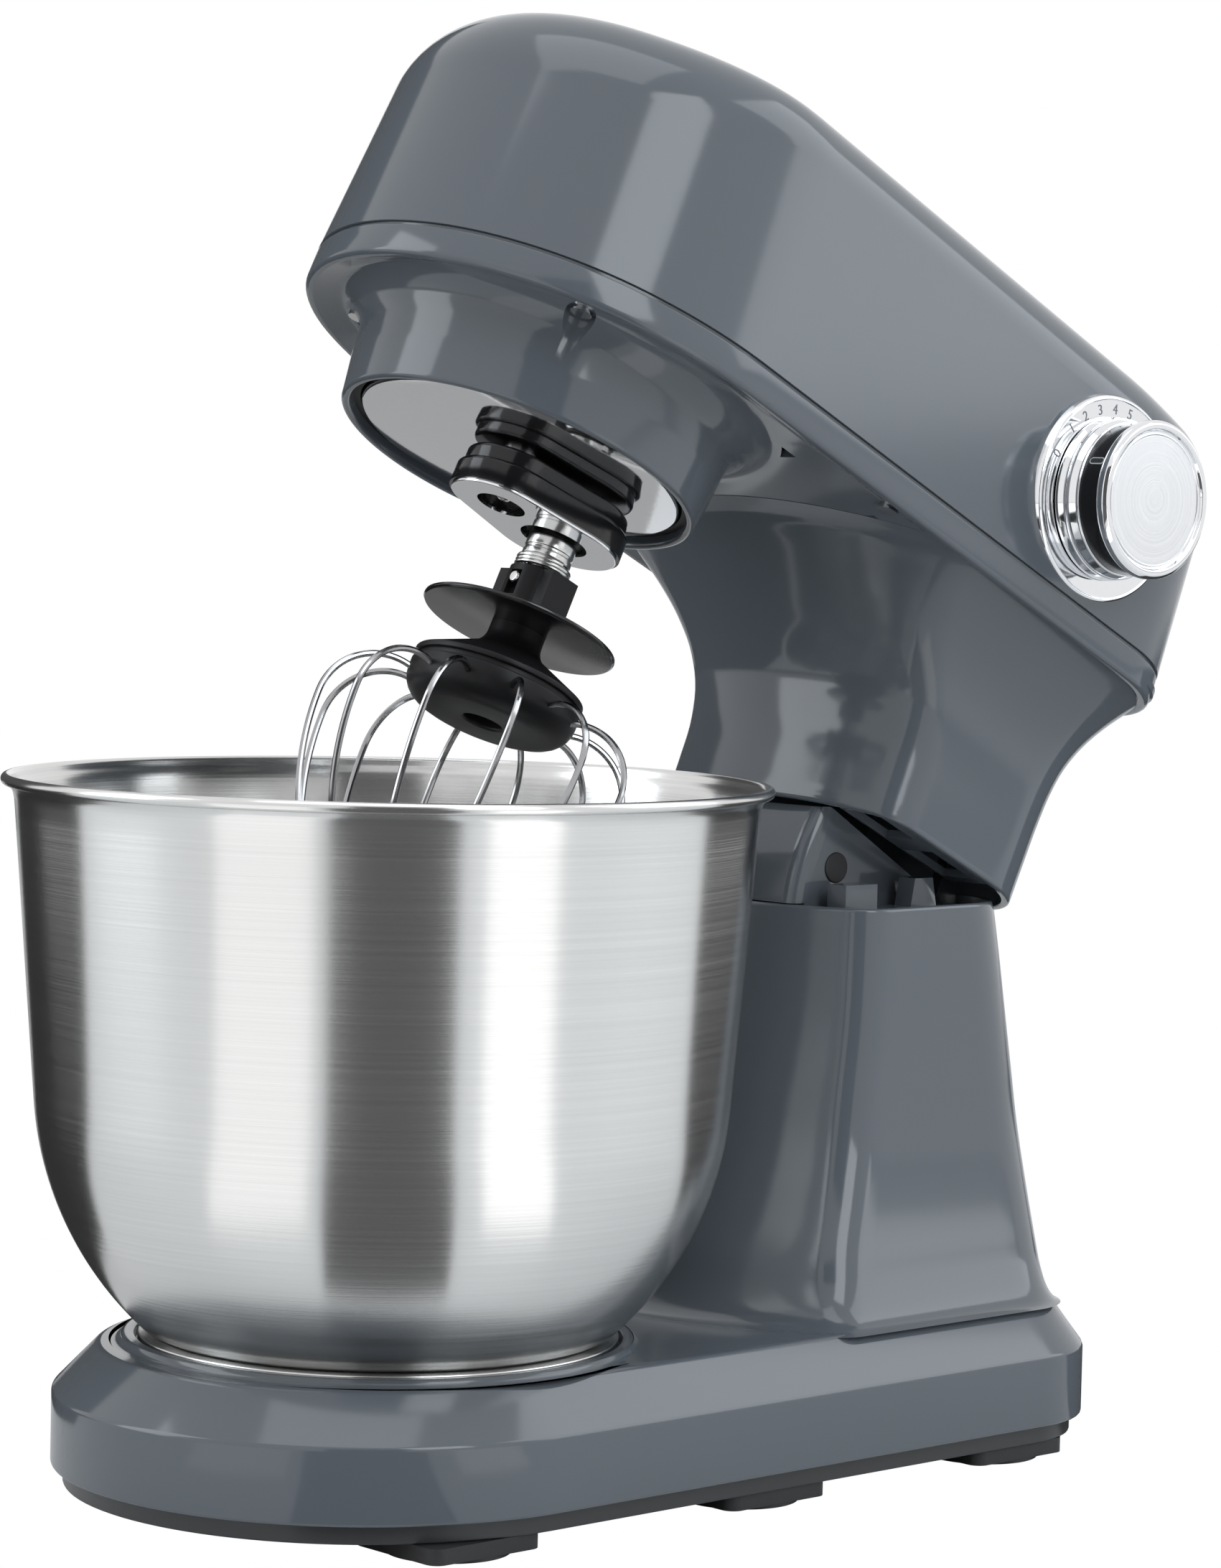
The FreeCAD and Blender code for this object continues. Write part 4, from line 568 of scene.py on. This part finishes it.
# the head: band and skirt are closed profiles, one round the outline, one round the mouth's axis
head = {"half": 79.3, "front": -79.4, "rear": 228.0, "bulge": 76.9, "sideArc": 105.0,
        "rearCorner": 32.0, "counts": (22, 22, 40, 18, 10), "wall": 2.8, "coverLow": 38.5,
        "topFront": 122.8, "topRear": 120.9, "draft": 4.0, "draftTop": 110.0, "sideRound": 20.0,
        "endRound": 30.0, "crownRear": 165.0, "crownRun": 62.0, "spine": (-2.0, 178.0),
        "fades": (0.25, 0.55, 1.0),
        "band": [(2.8, 38.3), (0.9, 38.3), (0.9, 37.2), (0, 37.2, 0.35), (0, 28.0, 1.6),
                 (2.8, 28.0, 1.4), (10.5, 31.5, 9.0), (24.0, 31.5), (24.0, 34.0), (2.8, 34.0)],
        "skirt": [(53.5, 34.0), (53.5, 0, 1.1), (56.2, 0, 1.4), (58.0, 13.0, 30.0),
                  (59.6, 31.53, 11.5), (72.6, 31.53), (72.6, 34.0)],
        "slab": {"halfX": 58.5, "halfY": 19.0, "corner": 2.0, "y": 73.0, "low": 31.55,
                 "high": 33.95},
        "recess": {"radius": 4.6, "low": 8.0, "high": 31.0,
                   "places": [(50.0, -38.0), (67.5, 85.0)]}}


def headOutline(inset):
    # a round nose whose sides bow out to straight ones, and round rear corners
    return planLoop(head["half"], head["front"], head["rear"], head["bulge"], head["sideArc"],
                    head["rearCorner"], inset, head["counts"])


def crownHeight(along):
    # the top falls a little, in one straight line, from front to rear
    share = (along - head["front"]) / (head["rear"] - head["front"])
    return head["topFront"] + (head["topRear"] - head["topFront"]) * share


def coverGrid():
    # drafted sides and a crown whose rounding is wide at both ends and tighter along the sides
    edge = headOutline(0.0)[0]
    step = np.gradient(edge, axis=0)
    step[0] = step[-1] = (1, 0)
    normal = np.stack([step[:, 1], -step[:, 0]], -1) / np.linalg.norm(step, axis=1)[:, None]
    ends = np.clip(np.maximum(-edge[:, 1], edge[:, 1] - head["crownRear"]) / head["crownRun"], 0, 1)
    ends = ends * ends * (3 - 2 * ends)
    crown = head["sideRound"] + (head["endRound"] - head["sideRound"]) * ends
    low = head["coverLow"]
    slope = head["draft"] / (head["draftTop"] - low)
    top = crownHeight(edge[:, 1] - normal[:, 1] * (crown + head["draft"]))
    share = np.linspace(0, 1, 14)[:, None]
    arc = np.radians(np.linspace(0, 90, 17))[1:, None]
    shoulder = top - crown
    layers = []
    for wall in (head["wall"], 0.0):
        height = low + (shoulder - low) * share
        inset = wall + slope * (height - low)
        inset = np.concatenate([inset, inset[-1] + (crown - wall) * (1 - np.cos(arc))])
        height = np.concatenate([height, shoulder + (crown - wall) * np.sin(arc)])
        plan = edge[None] - normal[None] * inset[..., None]
        rows = [np.concatenate([plan, height[..., None]], -1)]
        for fade in head["fades"]:
            row = rows[0][-1].copy()
            spine = np.clip(row[:, 1], *head["spine"])
            row[:, 1] += (spine - row[:, 1]) * fade
            row[:, 0] *= 1 - fade
            row[:, 2] = crownHeight(row[:, 1]) - wall
            rows.append(row[None])
        layers.append(np.concatenate(rows))
    return moved(np.concatenate([layers[0][::-1], layers[1]]), z=lip)


neck = {"bulge": 115.0, "frontCorner": 15.0, "rearCorner": 25.0, "counts": (18, 10, 16, 12, 10),
        "wall": 2.7, "sidesLow": 174.5,
        "foot": [(2.7, 174.0), (2.7, 172.0, 0.5), (0, 172.0, 0.9), (0, 174.0)],
        "root": [(0, 250.5), (20.0, 250.5), (20.0, 248.4)],
        # height above the table with the head closed, half width, front and rear
        "levels": [(172.0, 53.5, 134.0, 221.5), (186.0, 53.5, 133.4, 221.5),
                   (199.0, 53.5, 132.2, 221.6), (210.0, 53.8, 128.6, 222.0),
                   (220.0, 55.0, 121.6, 222.8), (228.0, 58.0, 113.2, 223.6),
                   (236.0, 63.4, 103.0, 224.6), (242.0, 69.0, 94.0, 225.4),
                   (246.4, 74.4, 86.5, 226.0), (248.4, 78.0, 80.0, 226.4)]}


def neckGrid():
    # a lofted outline that flares into the head's underside, with the wall's thickness inside
    outer = smoothRows(neck["levels"], 36)
    sides = atHeights(loftOutline(neck, 0.0, outer), outer[:, 0])
    inner = atHeights(loftOutline(neck, neck["wall"], outer), outer[:, 0])
    foot, root = rounded(neck["foot"], 3), np.array(neck["root"])
    rim = atHeights(loftOutline(neck, foot[:, 0], outer[:1]), foot[:, 1])
    high = atHeights(loftOutline(neck, root[:, 0], outer[-1:]), root[:, 1])
    keep = outer[:, 0] > neck["sidesLow"]
    return np.concatenate([inner[keep][::-1], rim, sides[keep], high, inner[keep][-1:]])


def slabGrid():
    # the flat part of the head's underside in front of the neck: a box with round corners, whose
    # ends are drawn in to a line across
    slab = head["slab"]
    grid = swept(lambda inset: boxLoop(slab["halfX"], slab["halfY"], slab["corner"], inset),
                 [(0, slab["low"]), (0, slab["high"])])
    low, high = [grid[end][None] * (1, 0, 1) for end in (0, -1)]
    return moved(np.concatenate([low, grid, high]), y=slab["y"], z=lip)


def lowerGrids():
    # the band with its cove and shelf, the slab, the skirt round the drive and the neck
    band = moved(swept(headOutline, rounded(head["band"], 6, True)), z=lip)
    return [band, slabGrid(), turnedInHead(head["skirt"], 9, 144, closed=True), neckGrid()]


def recessHoles():
    # the deep screw holes under the head
    recess = head["recess"]
    cutter = cylinder(recess["radius"], recess["low"], recess["high"], 40)
    return [moved(cutter, x=side * x, y=y, z=lip) for x, y in recess["places"] for side in (-1, 1)]


piece("headCover", coverGrid(), "housing", "head", "grey_plastic", "head_top_cover")
piece("headLower", lowerGrids(), "housing", "head", "grey_plastic", "head_lower_housing",
      holes=recessHoles())
print("head made")

# the whisk: the wires' half loop, then the profiles of what holds them
whisk = {"wireRadius": 1.0, "rootRadius": 23.0, "shoulderRoot": 26.9, "rootUp": -66.5,
         "rise": 12.0, "bend": 40.0, "widest": 49.0, "tip": -158.0, "loops": 6, "step": 2.2,
         "disc": [(0, -43.6), (29.9, -43.6, 0.5), (30.5, -42.9, 0.4), (30.4, -42.0, 0.4),
                  (0, -42.0)],
         "hub": [(0, -61.0), (26.7, -61.0, 0.5), (26.7, -59.2, 0.8), (8.6, -50.0, 6.0),
                 (8.5, -43.3), (0, -43.3)],
         "cap": [(0, -69.8), (6.0, -69.8), (6.0, -73.8, 1.0), (26.7, -73.8, 8.0),
                 (26.7, -62.6, 0.5), (25.5, -62.6), (25.5, -60.8), (0, -60.8)]}


def wirePath(tipUp):
    # half a loop in the XZ plane, mirrored: a straight root in the cap, then three arcs, a
    # shoulder, a long side and a round end, each tangent to the one before
    rise, bend = math.radians(whisk["rise"]), math.radians(whisk["bend"])
    start, up, widest = whisk["shoulderRoot"], whisk["rootUp"], whisk["widest"]
    shoulder = (widest - start) / (1 + math.sin(rise))
    low = up - shoulder * math.cos(rise)
    fall = low - tipUp
    share = math.cos(bend) / (1 - math.sin(bend))
    side = (fall * share - widest) / (math.sin(bend) * share - 1 + math.cos(bend))
    end = (fall - side * math.sin(bend)) / (1 - math.sin(bend))
    rootUp = up - (start - whisk["rootRadius"]) * math.tan(rise)
    half = np.concatenate([
        np.linspace((whisk["rootRadius"], rootUp), (start, up), 4)[:-1],
        arcPoints((widest - shoulder, low), shoulder, 90 + whisk["rise"], 0, 22),
        arcPoints((widest - side, low), side, 0, -whisk["bend"], 26)[1:],
        arcPoints((0, tipUp + end), end, -whisk["bend"], -90, 18)[1:]])
    path = np.concatenate([half, half[-2::-1] * (-1, 1)])
    return np.stack([path[:, 0], 0 * path[:, 0], path[:, 1]], -1)


def wireGrids():
    # the loops, spread evenly about the whisk's axis, each tip a little above the one before
    loops = []
    for number in range(whisk["loops"]):
        path = wirePath(whisk["tip"] + whisk["step"] * number)
        wire = tube(path, whisk["wireRadius"], (0, 1, 0), 10)
        loops.append(moved(spun(wire, 180.0 / whisk["loops"] * number), y=orbit, z=lip))
    return loops


piece("whiskWires", wireGrids(), "wire", "whisk", "steel", "whisk_wires")
for name, part, finish, node in (("splashGuard", "disc", "black", "splash_disc"),
                                 ("whiskHub", "hub", "matte", "whisk_hub"),
                                 ("whiskCap", "cap", "matte", "whisk_cap")):
    piece(name, turnedInHead(whisk[part], 7, 96, orbit), finish, "whisk", "dark_plastic", node)

spring = {"radius": 8.0, "wire": 0.75, "low": -24.3, "high": -21.0, "turns": 3.0, "keep": 0.52}


def springGrid():
    # a helix about the output shaft
    share = np.linspace(0, 1, 97)
    angle = 2 * np.pi * spring["turns"] * share
    height = spring["low"] + (spring["high"] - spring["low"]) * share
    radius = spring["radius"]
    path = np.stack([radius * np.cos(angle), radius * np.sin(angle), height], -1)
    return moved(tube(path, spring["wire"], (0, 0, 1), 10), y=orbit, z=lip)


piece("springCoil", springGrid(), "zinc", "output", "steel", "tool_spring")
springUp = lip + spring["high"] + spring["wire"]
springTop = raised([(0, orbit, springUp), (0, orbit, lip)]) * mm
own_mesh(bpy.data.objects["springCoil"])
print("whisk made")

# knob and dial: profiles hold radius from the knob's axis and distance along +X
knob = {"y": 160.4, "up": 73.0,
        "plate": [(5.0, 72.0), (32.3, 72.0), (32.8, 77.6, 0.4), (32.1, 79.4, 0.8),
                  (31.3, 79.9, 0.3), (30.9, 79.5, 0.2), (24.0, 79.5), (5.0, 79.5)],
        "foot": [(4.0, 79.9), (25.5, 79.9, 0.4), (25.5, 81.2, 0.5), (24.3, 83.6, 1.4),
                 (24.9, 84.1, 0.35), (24.7, 85.0, 0.4), (23.7, 87.4, 1.4), (24.0, 88.2, 0.2),
                 (4.0, 88.2)],
        "body": [(4.0, 88.2), (23.6, 88.2, 0.2), (23.4, 96.0), (4.0, 96.0)],
        "ring": [(20.7, 95.7), (24.2, 95.7, 0.3), (24.6, 96.6, 0.4), (24.6, 98.4, 0.8),
                 (23.5, 99.5, 0.7), (21.9, 99.45, 0.5), (21.4, 98.5, 0.3), (20.7, 98.3)],
        "disc": [(0, 96.0), (20.7, 96.0), (20.7, 98.6, 0.15), (20.2, 98.6, 0.1), (20.0, 98.4),
                 (0, 98.4)],
        "markAngle": -87.0, "markFrom": 89.6, "markTo": 95.4, "markHalf": 1.15,
        "markRadius": 23.75, "markDeep": 22.5, "fillHalf": 0.8, "fillRadius": 23.8,
        "digits": {"0": -87.0, "1": -66.0, "2": -51.0, "3": -36.5, "4": -22.0, "5": -7.5, "6": 7.0},
        "digitRadius": 27.9, "digitHigh": 4.6, "digitFace": 79.52, "digitThick": 0.06}


def knobGrid(name, closed=True):
    # a profile turned about the knob's axis; an open one ends in rings across its face
    profile = rounded(knob[name], 5, closed)
    if not closed:
        face = np.linspace(profile[-2], profile[-1], 16)
        profile = np.concatenate([profile[:-1], face[1:]])
    return sideways(turned(profile, 128), knob["y"], lip + knob["up"])


def markGrid(half, high):
    # the pointer: an upright slot bent round the knob's side, from a middle line out to its rim
    start, end = knob["markFrom"] + knob["markHalf"], knob["markTo"] - knob["markHalf"]
    turn = np.linspace(0, np.pi, 21)
    along = np.concatenate([end + half * np.sin(turn), start - half * np.sin(turn), [end]])
    across = half * np.cos(np.concatenate([turn, turn + np.pi, turn[:1]])) / knob["markRadius"]
    middle = math.radians(90 - knob["markAngle"])
    rows = []
    for radius, share in ((knob["markDeep"], 0), (knob["markDeep"], 1), (high, 1), (high, 0)):
        angle = middle + across * share
        place = along if share else np.clip(along, start, end)
        rows.append(np.stack([place, radius * np.cos(angle), radius * np.sin(angle)], -1))
    return moved(np.stack(rows), y=knob["y"], z=lip + knob["up"])


def textMesh(name, text, high):
    # a digit as a thin flat solid, made a mesh before it is put in place
    font = bpy.data.curves.new(name, "FONT")
    font.body, font.size, font.align_x, font.align_y = text, high * mm, "CENTER", "CENTER"
    font.extrude = knob["digitThick"] * mm
    font.resolution_u = 6
    item = bpy.data.objects.new(name, font)
    bpy.context.scene.collection.objects.link(item)
    bpy.context.view_layer.update()
    seen = item.evaluated_get(bpy.context.evaluated_depsgraph_get())
    mesh = bpy.data.meshes.new_from_object(seen)
    bpy.data.objects.remove(item)
    bpy.data.curves.remove(font)
    return mesh


def makeDigits():
    # each digit stands upright at its own angle on the dial's face
    for digit, angle in knob["digits"].items():
        mesh = textMesh("dialDigit" + digit, digit, knob["digitHigh"])
        points = np.zeros(len(mesh.vertices) * 3)
        mesh.vertices.foreach_get("co", points)
        across, high, out = (points.reshape(-1, 3) / mm).T
        turn = math.radians(angle)
        high = high + knob["digitRadius"]
        y = knob["y"] + across * math.cos(turn) + high * math.sin(turn)
        z = lip + knob["up"] - across * math.sin(turn) + high * math.cos(turn)
        place = np.stack([knob["digitFace"] + out, y, z], -1)
        mesh.vertices.foreach_set("co", (raised(place) * mm).ravel())
        mesh.update()
        placed("dialDigit" + digit, mesh, "ink", "head", [])


piece("dialPlate", knobGrid("plate"), "chrome", "head", "chrome", "dial_plate")
piece("knobFoot", knobGrid("foot"), "chrome", "knob", "chrome")
piece("knobBody", knobGrid("body"), "black", "knob", "black_plastic", "knob_body")
piece("knobRing", knobGrid("ring"), "chrome", "knob", "chrome", "knob_ring")
piece("knobDisc", knobGrid("disc", False), "spun", "knob", "chrome", "knob_cap")
piece("knobMark", markGrid(knob["markHalf"], knob["markRadius"]), "pale", "knob", "dark_plastic")
piece("knobMarkFill", markGrid(knob["fillHalf"], knob["fillRadius"]), "satin", "knob",
      "dark_plastic")
makeDigits()
print("knob made")

# the planetary drive: tiers and plate are profiles that go round the arm's outline
drive = {"screwEnd": 16.8, "outputEnd": 20.8, "topInset": 1.5, "plateInset": 0.8, "pinUp": -29.5,
         "topTier": [(0.5, -5.0), (0, -4.99), (0, 0.4, 1.6), (2.2, 0.4)],
         "lowTier": [(0.5, -12.4), (0, -12.39), (0, -4.6, 1.6), (2.2, -4.6)],
         "plate": [(0.5, -12.35), (0, -12.35), (0, -13.25, 0.3), (0.7, -13.25)],
         "holes": [(7.6, 0.0), (10.6, orbit)], "holeLow": -14.4, "holeHigh": -9.8,
         "screw": [(0, -11.65), (1.5, -11.5, 0.8), (2.6, -10.7, 0.4), (2.6, -9.6), (0, -9.6)],
         "cross": {"long": 1.5, "short": 0.33, "corner": 0.1, "low": -12.5, "high": -11.1},
         "disc": [(6.0, 2.0), (50.5, 2.0, 0.8), (50.5, 9.0), (47.5, 9.0), (47.5, 5.0), (6.0, 5.0)],
         "gapRing": [(51.2, 3.4), (53.6, 3.4), (53.6, 14.0), (51.2, 14.0)],
         "backing": [(47.0, 9.5), (53.6, 9.5), (53.6, 11.0), (47.0, 11.0)],
         "shaft": [(0, -39.0), (4.4, -39.0, 0.5), (5.0, -38.0, 0.4), (5.0, -20.6),
                   (7.4, -20.6, 0.3), (7.75, -20.0, 0.3), (7.75, -18.6, 0.2), (7.45, -18.3, 0.2),
                   (7.45, -17.5, 0.2), (7.75, -17.2, 0.2), (7.75, -13.7, 0.5), (5.6, -13.3, 0.3),
                   (5.0, -12.6), (5.0, 0.0), (0, 0.0)],
         "pin": [(0, -9.55), (1.5, -9.55, 0.3), (1.95, -9.1, 0.2), (1.95, 9.1, 0.2),
                 (1.5, 9.55, 0.3), (0, 9.55)]}


def armLoop(inset):
    # two round ends of unlike radius joined by their common tangents
    inset = np.reshape(np.asarray(inset, float), (-1, 1))
    small, large = drive["screwEnd"] - inset, drive["outputEnd"] - inset
    lean = math.asin((drive["outputEnd"] - drive["screwEnd"]) / orbit)
    rear = np.linspace(-lean, math.pi + lean, 49)[None]
    front = np.linspace(math.pi + lean, 2 * math.pi - lean, 49)[None]
    side = np.linspace(0, 1, 10)[None, 1:-1]
    far = np.stack([large * np.cos(rear), orbit + large * np.sin(rear)], -1)
    near = np.stack([small * np.cos(front), small * np.sin(front)], -1)
    down = far[:, -1:] + (near[:, :1] - far[:, -1:]) * side[..., None]
    back = near[:, -1:] + (far[:, :1] - near[:, -1:]) * side[..., None]
    return np.concatenate([far, down, near, back, far[:, :1]], 1)


def armTier(name, extra, rounding):
    # one layer of the arm: its profile carried round the outline, set in by extra
    grid = swept(lambda inset: armLoop(inset + extra), rounded(drive[name], rounding))
    return moved(capped(grid, 0, orbit), z=lip)


def armHoles():
    # the two round openings under the arm
    return [moved(cylinder(radius, drive["holeLow"], drive["holeHigh"]), y=along, z=lip)
            for radius, along in drive["holes"]]


def crossHoles():
    # the cross in the screw's head, two boxes with round corners
    cross, arms = drive["cross"], []
    for halfX, halfY in ((cross["long"], cross["short"]), (cross["short"], cross["long"])):
        grid = swept(lambda inset: boxLoop(halfX, halfY, cross["corner"], inset, 2),
                     [(0, cross["low"]), (0, cross["high"])])
        arms.append(moved(capped(grid, 0, orbit), z=lip))
    return arms


def pinGrid():
    # a profile turned about its own axis, laid along Y through the output shaft
    pin = turned(rounded(drive["pin"], 3), 32)
    return moved(pin[..., [0, 2, 1]], y=orbit, z=lip + drive["pinUp"])


piece("planetDisc", turnedInHead(drive["disc"], 4, 144, closed=True), "chrome", "planet",
      "chrome_plastic", "planet_disc")
gapGrids = [turnedInHead(drive[name], 2, 144, closed=True) for name in ("gapRing", "backing")]
piece("mouthGap", gapGrids, "rubber", "head", "rubber", "mouth_ring")
piece("driveArm", [armTier("topTier", drive["topInset"], 6), armTier("lowTier", 0.0, 6)], "black",
      "planet", "black_plastic", "planet_arm", holes=armHoles())
piece("armPlate", armTier("plate", drive["plateInset"], 3), "chrome", "planet", "chrome",
      "arm_plate", holes=armHoles())
piece("armScrew", turnedInHead(drive["screw"], 4, 40), "zinc", "planet", "steel", "arm_screw",
      holes=crossHoles())
piece("outputShaft", turnedInHead(drive["shaft"], 3, 64, orbit), "zinc", "output", "steel",
      "output_shaft")
piece("drivePin", pinGrid(), "zinc", "output", "steel", "drive_pin")
softened("whiskSocket", "whisk_socket", "matte", "whisk", "steel", 0.9)
print("drive made")

# small parts that keep their CAD form: node, finish, body, slot and the width of the soft edge
softParts = {"hingeDeck": ("hinge_deck", "housing", "stand", "grey_plastic", 1.0),
             "bottomPlate": ("bottom_plate", "satin", "stand", "black_plastic", 0.6),
             "towerPlugLeft": ("tower_plug_left", "rubber", "stand", "rubber", 0.4),
             "towerPlugRight": ("tower_plug_right", "rubber", "stand", "rubber", 0.4),
             "cordGland": ("cord_gland", "rubber", "stand", "rubber", 0.5),
             "releaseButton": ("release_button", "black", "release", "black_plastic", 0.8),
             "neckFloor": ("neck_floor", "housing", "head", "dark_plastic", 0.4)}
for number in range(1, 7):
    node = "suction_foot_%d" % number
    softParts["rubberFoot%d" % number] = (node, "rubber", "stand", "rubber", 0.8)
for name, values in softParts.items():
    softened(name, *values)
print("small parts made")

# stage, lights and camera, in metres; each item stands off the aim at its azimuth and elevation
stage = {"aim": Vector((0, 0.07, 0.22)), "floorSize": 6.0, "floorShade": 0.86, "fillLevel": 0.5,
         "lampTint": (0.90, 0.96, 1.0),
         # azimuth, elevation, distance, width, height and watts
         "lamps": {"rightSoftbox": (52.0, 29.0, 2.0, 1.3, 1.6, 13.0),
                   "frontSoftbox": (-8.0, 34.0, 2.2, 0.8, 1.2, 11.0),
                   "leftSoftbox": (-124.0, 22.0, 2.0, 0.9, 1.6, 12.0),
                   "topSoftbox": (-60.0, 80.0, 1.9, 1.4, 1.4, 9.0)},
         # the same first five numbers, then the card's level: only gloss sees the cards
         "cards": {"cameraCard": (-38.0, 4.0, 2.4, 1.2, 3.0, 0.10),
                   "leftCard": (-190.0, 0.0, 2.4, 1.9, 3.0, 0.08),
                   "knobCard": (48.0, 6.3, 2.2, 1.0, 0.16, 0.72)},
         # wedges of the floor that only gloss sees: azimuth, half angle, near and far ends, level
         "stripHeight": 0.0015,
         "strips": {"cameraStrip": (-38.0, 18.5, 0.12, 2.7, 0.13),
                    "leftStrip": (-171.0, 27.0, 0.2, 2.7, 0.03),
                    "mouthStrip": (149.0, 12.0, 0.3, 1.6, 0.42),
                    "rightStrip": (86.0, 16.0, 0.2, 2.7, 0.05),
                    "brightRight": (0.0, 11.0, 0.2, 2.7, 1.6),
                    "brightLeft": (-76.0, 15.0, 0.2, 2.7, 1.30)}}
# the camera, in metres and radians
view = {"place": (1.01836, -0.85244, 0.29191), "yaw": 0.8252, "pitch": -0.0604, "roll": 0.0228,
        "lens": 104.3, "sensor": 36.0}


def sheet(name, corners):
    # one flat face
    mesh = bpy.data.meshes.new(name)
    mesh.from_pydata(corners, [], [(0, 1, 2, 3)])
    return bpy.data.objects.new(name, mesh)


def rectangle(width, height):
    # four corners about the origin
    return [(x * width / 2, y * height / 2, 0) for x, y in ((-1, -1), (1, -1), (1, 1), (-1, 1))]


def makeFloor():
    # pale paper that the camera sees as plain white
    floor = sheet("floor", rectangle(stage["floorSize"], stage["floorSize"]))
    bpy.context.scene.collection.objects.link(floor)
    graph = Graph(bpy.data.materials.new("floorPaper"))
    graph.set({"Base Color": tint([stage["floorShade"]] * 3), "Roughness": 0.9})
    camera, paper = graph.node("LightPath"), Wire(graph, graph.shader.outputs[0])
    white = graph.node("Emission", {}, {"Color": (1, 1, 1, 1), "Strength": 1.0})
    mixed = graph.node("MixShader", {}, [camera, paper, white])
    graph.feed(graph.tree.nodes["Material Output"].inputs["Surface"], mixed)
    floor.data.materials.append(graph.owner)


def facing(item, azimuth, elevation, distance):
    # stands an item off at a direction from the mixer, turned towards it
    azimuth, elevation = math.radians(azimuth), math.radians(elevation)
    away = Vector((math.cos(azimuth) * math.cos(elevation),
                   math.sin(azimuth) * math.cos(elevation), math.sin(elevation)))
    item.location = stage["aim"] + away * distance
    item.rotation_euler = away.to_track_quat("Z", "Y").to_euler()


def makeLamp(name, azimuth, elevation, distance, width, height, power):
    # a softbox turned towards the mixer
    lamp = bpy.data.lights.new(name, "AREA")
    lamp.shape, lamp.size, lamp.size_y = "RECTANGLE", width, height
    lamp.energy, lamp.color = power, stage["lampTint"]
    item = bpy.data.objects.new(name, lamp)
    bpy.context.scene.collection.objects.link(item)
    facing(item, azimuth, elevation, distance)


def glossOnly(card, level):
    # an emitter that lights nothing and shows only in what shines
    bpy.context.scene.collection.objects.link(card)
    for kind in ("camera", "diffuse", "transmission", "volume_scatter", "shadow"):
        setattr(card, "visible_" + kind, False)
    graph = Graph(bpy.data.materials.new(card.name))
    graph.set({"Base Color": (0, 0, 0, 1), "Roughness": 1.0, "Specular IOR Level": 0.0,
               "Emission Color": tint([level] * 3), "Emission Strength": 1.0})
    card.data.materials.append(graph.owner)


def makeCard(name, azimuth, elevation, distance, width, height, level):
    # a flat card turned towards the mixer
    card = sheet(name, rectangle(width, height))
    facing(card, azimuth, elevation, distance)
    glossOnly(card, level)


def makeStrip(name, azimuth, half, near, far, level):
    # a wedge of the floor, seen from the bowl's axis
    angle = [math.radians(azimuth + side * half) for side in (-1, 1, 1, -1)]
    corners = [(reach * math.cos(turn), reach * math.sin(turn), stage["stripHeight"])
               for turn, reach in zip(angle, (near, near, far, far))]
    glossOnly(sheet(name, corners), level)


def makeWorld():
    # white to the camera, to gloss and through glass, a dimmer fill for everything else
    graph = Graph(bpy.data.worlds.new("studio"), "Background")
    camera, glossy, through = [graph.node("LightPath", out=number) for number in (0, 3, 6)]
    seen = camera.math("MAXIMUM", glossy).math("MAXIMUM", through)
    level = graph.node("MapRange", {}, {0: seen, 3: stage["fillLevel"]})
    graph.set({"Color": (1, 1, 1, 1), "Strength": level})
    bpy.context.scene.world = graph.owner


def makeCamera():
    # stands at its place, turned by yaw and pitch and rolled about where it looks
    data = bpy.data.cameras.new("camera")
    data.lens, data.sensor_fit = view["lens"], "VERTICAL"
    data.sensor_width = data.sensor_height = view["sensor"]
    camera = bpy.data.objects.new("camera", data)
    bpy.context.scene.collection.objects.link(camera)
    yaw, pitch, roll = view["yaw"], view["pitch"], view["roll"]
    level = Vector((math.cos(yaw), math.sin(yaw), 0))
    ahead = Vector((-math.sin(yaw), math.cos(yaw), 0)) * math.cos(pitch)
    ahead += Vector((0, 0, math.sin(pitch)))
    above = level.cross(ahead)
    right = level * math.cos(roll) + above * math.sin(roll)
    upward = above * math.cos(roll) - level * math.sin(roll)
    turn = Matrix((right, upward, -ahead)).transposed()
    camera.matrix_world = Matrix.Translation(view["place"]) @ turn.to_4x4()
    bpy.context.scene.camera = camera


makeFloor()
makeWorld()
for make, kind in ((makeLamp, "lamps"), (makeCard, "cards"), (makeStrip, "strips")):
    for name, values in stage[kind].items():
        make(name, *values)
makeCamera()
bpy.context.scene.view_settings.view_transform = "Standard"
print("stage made")
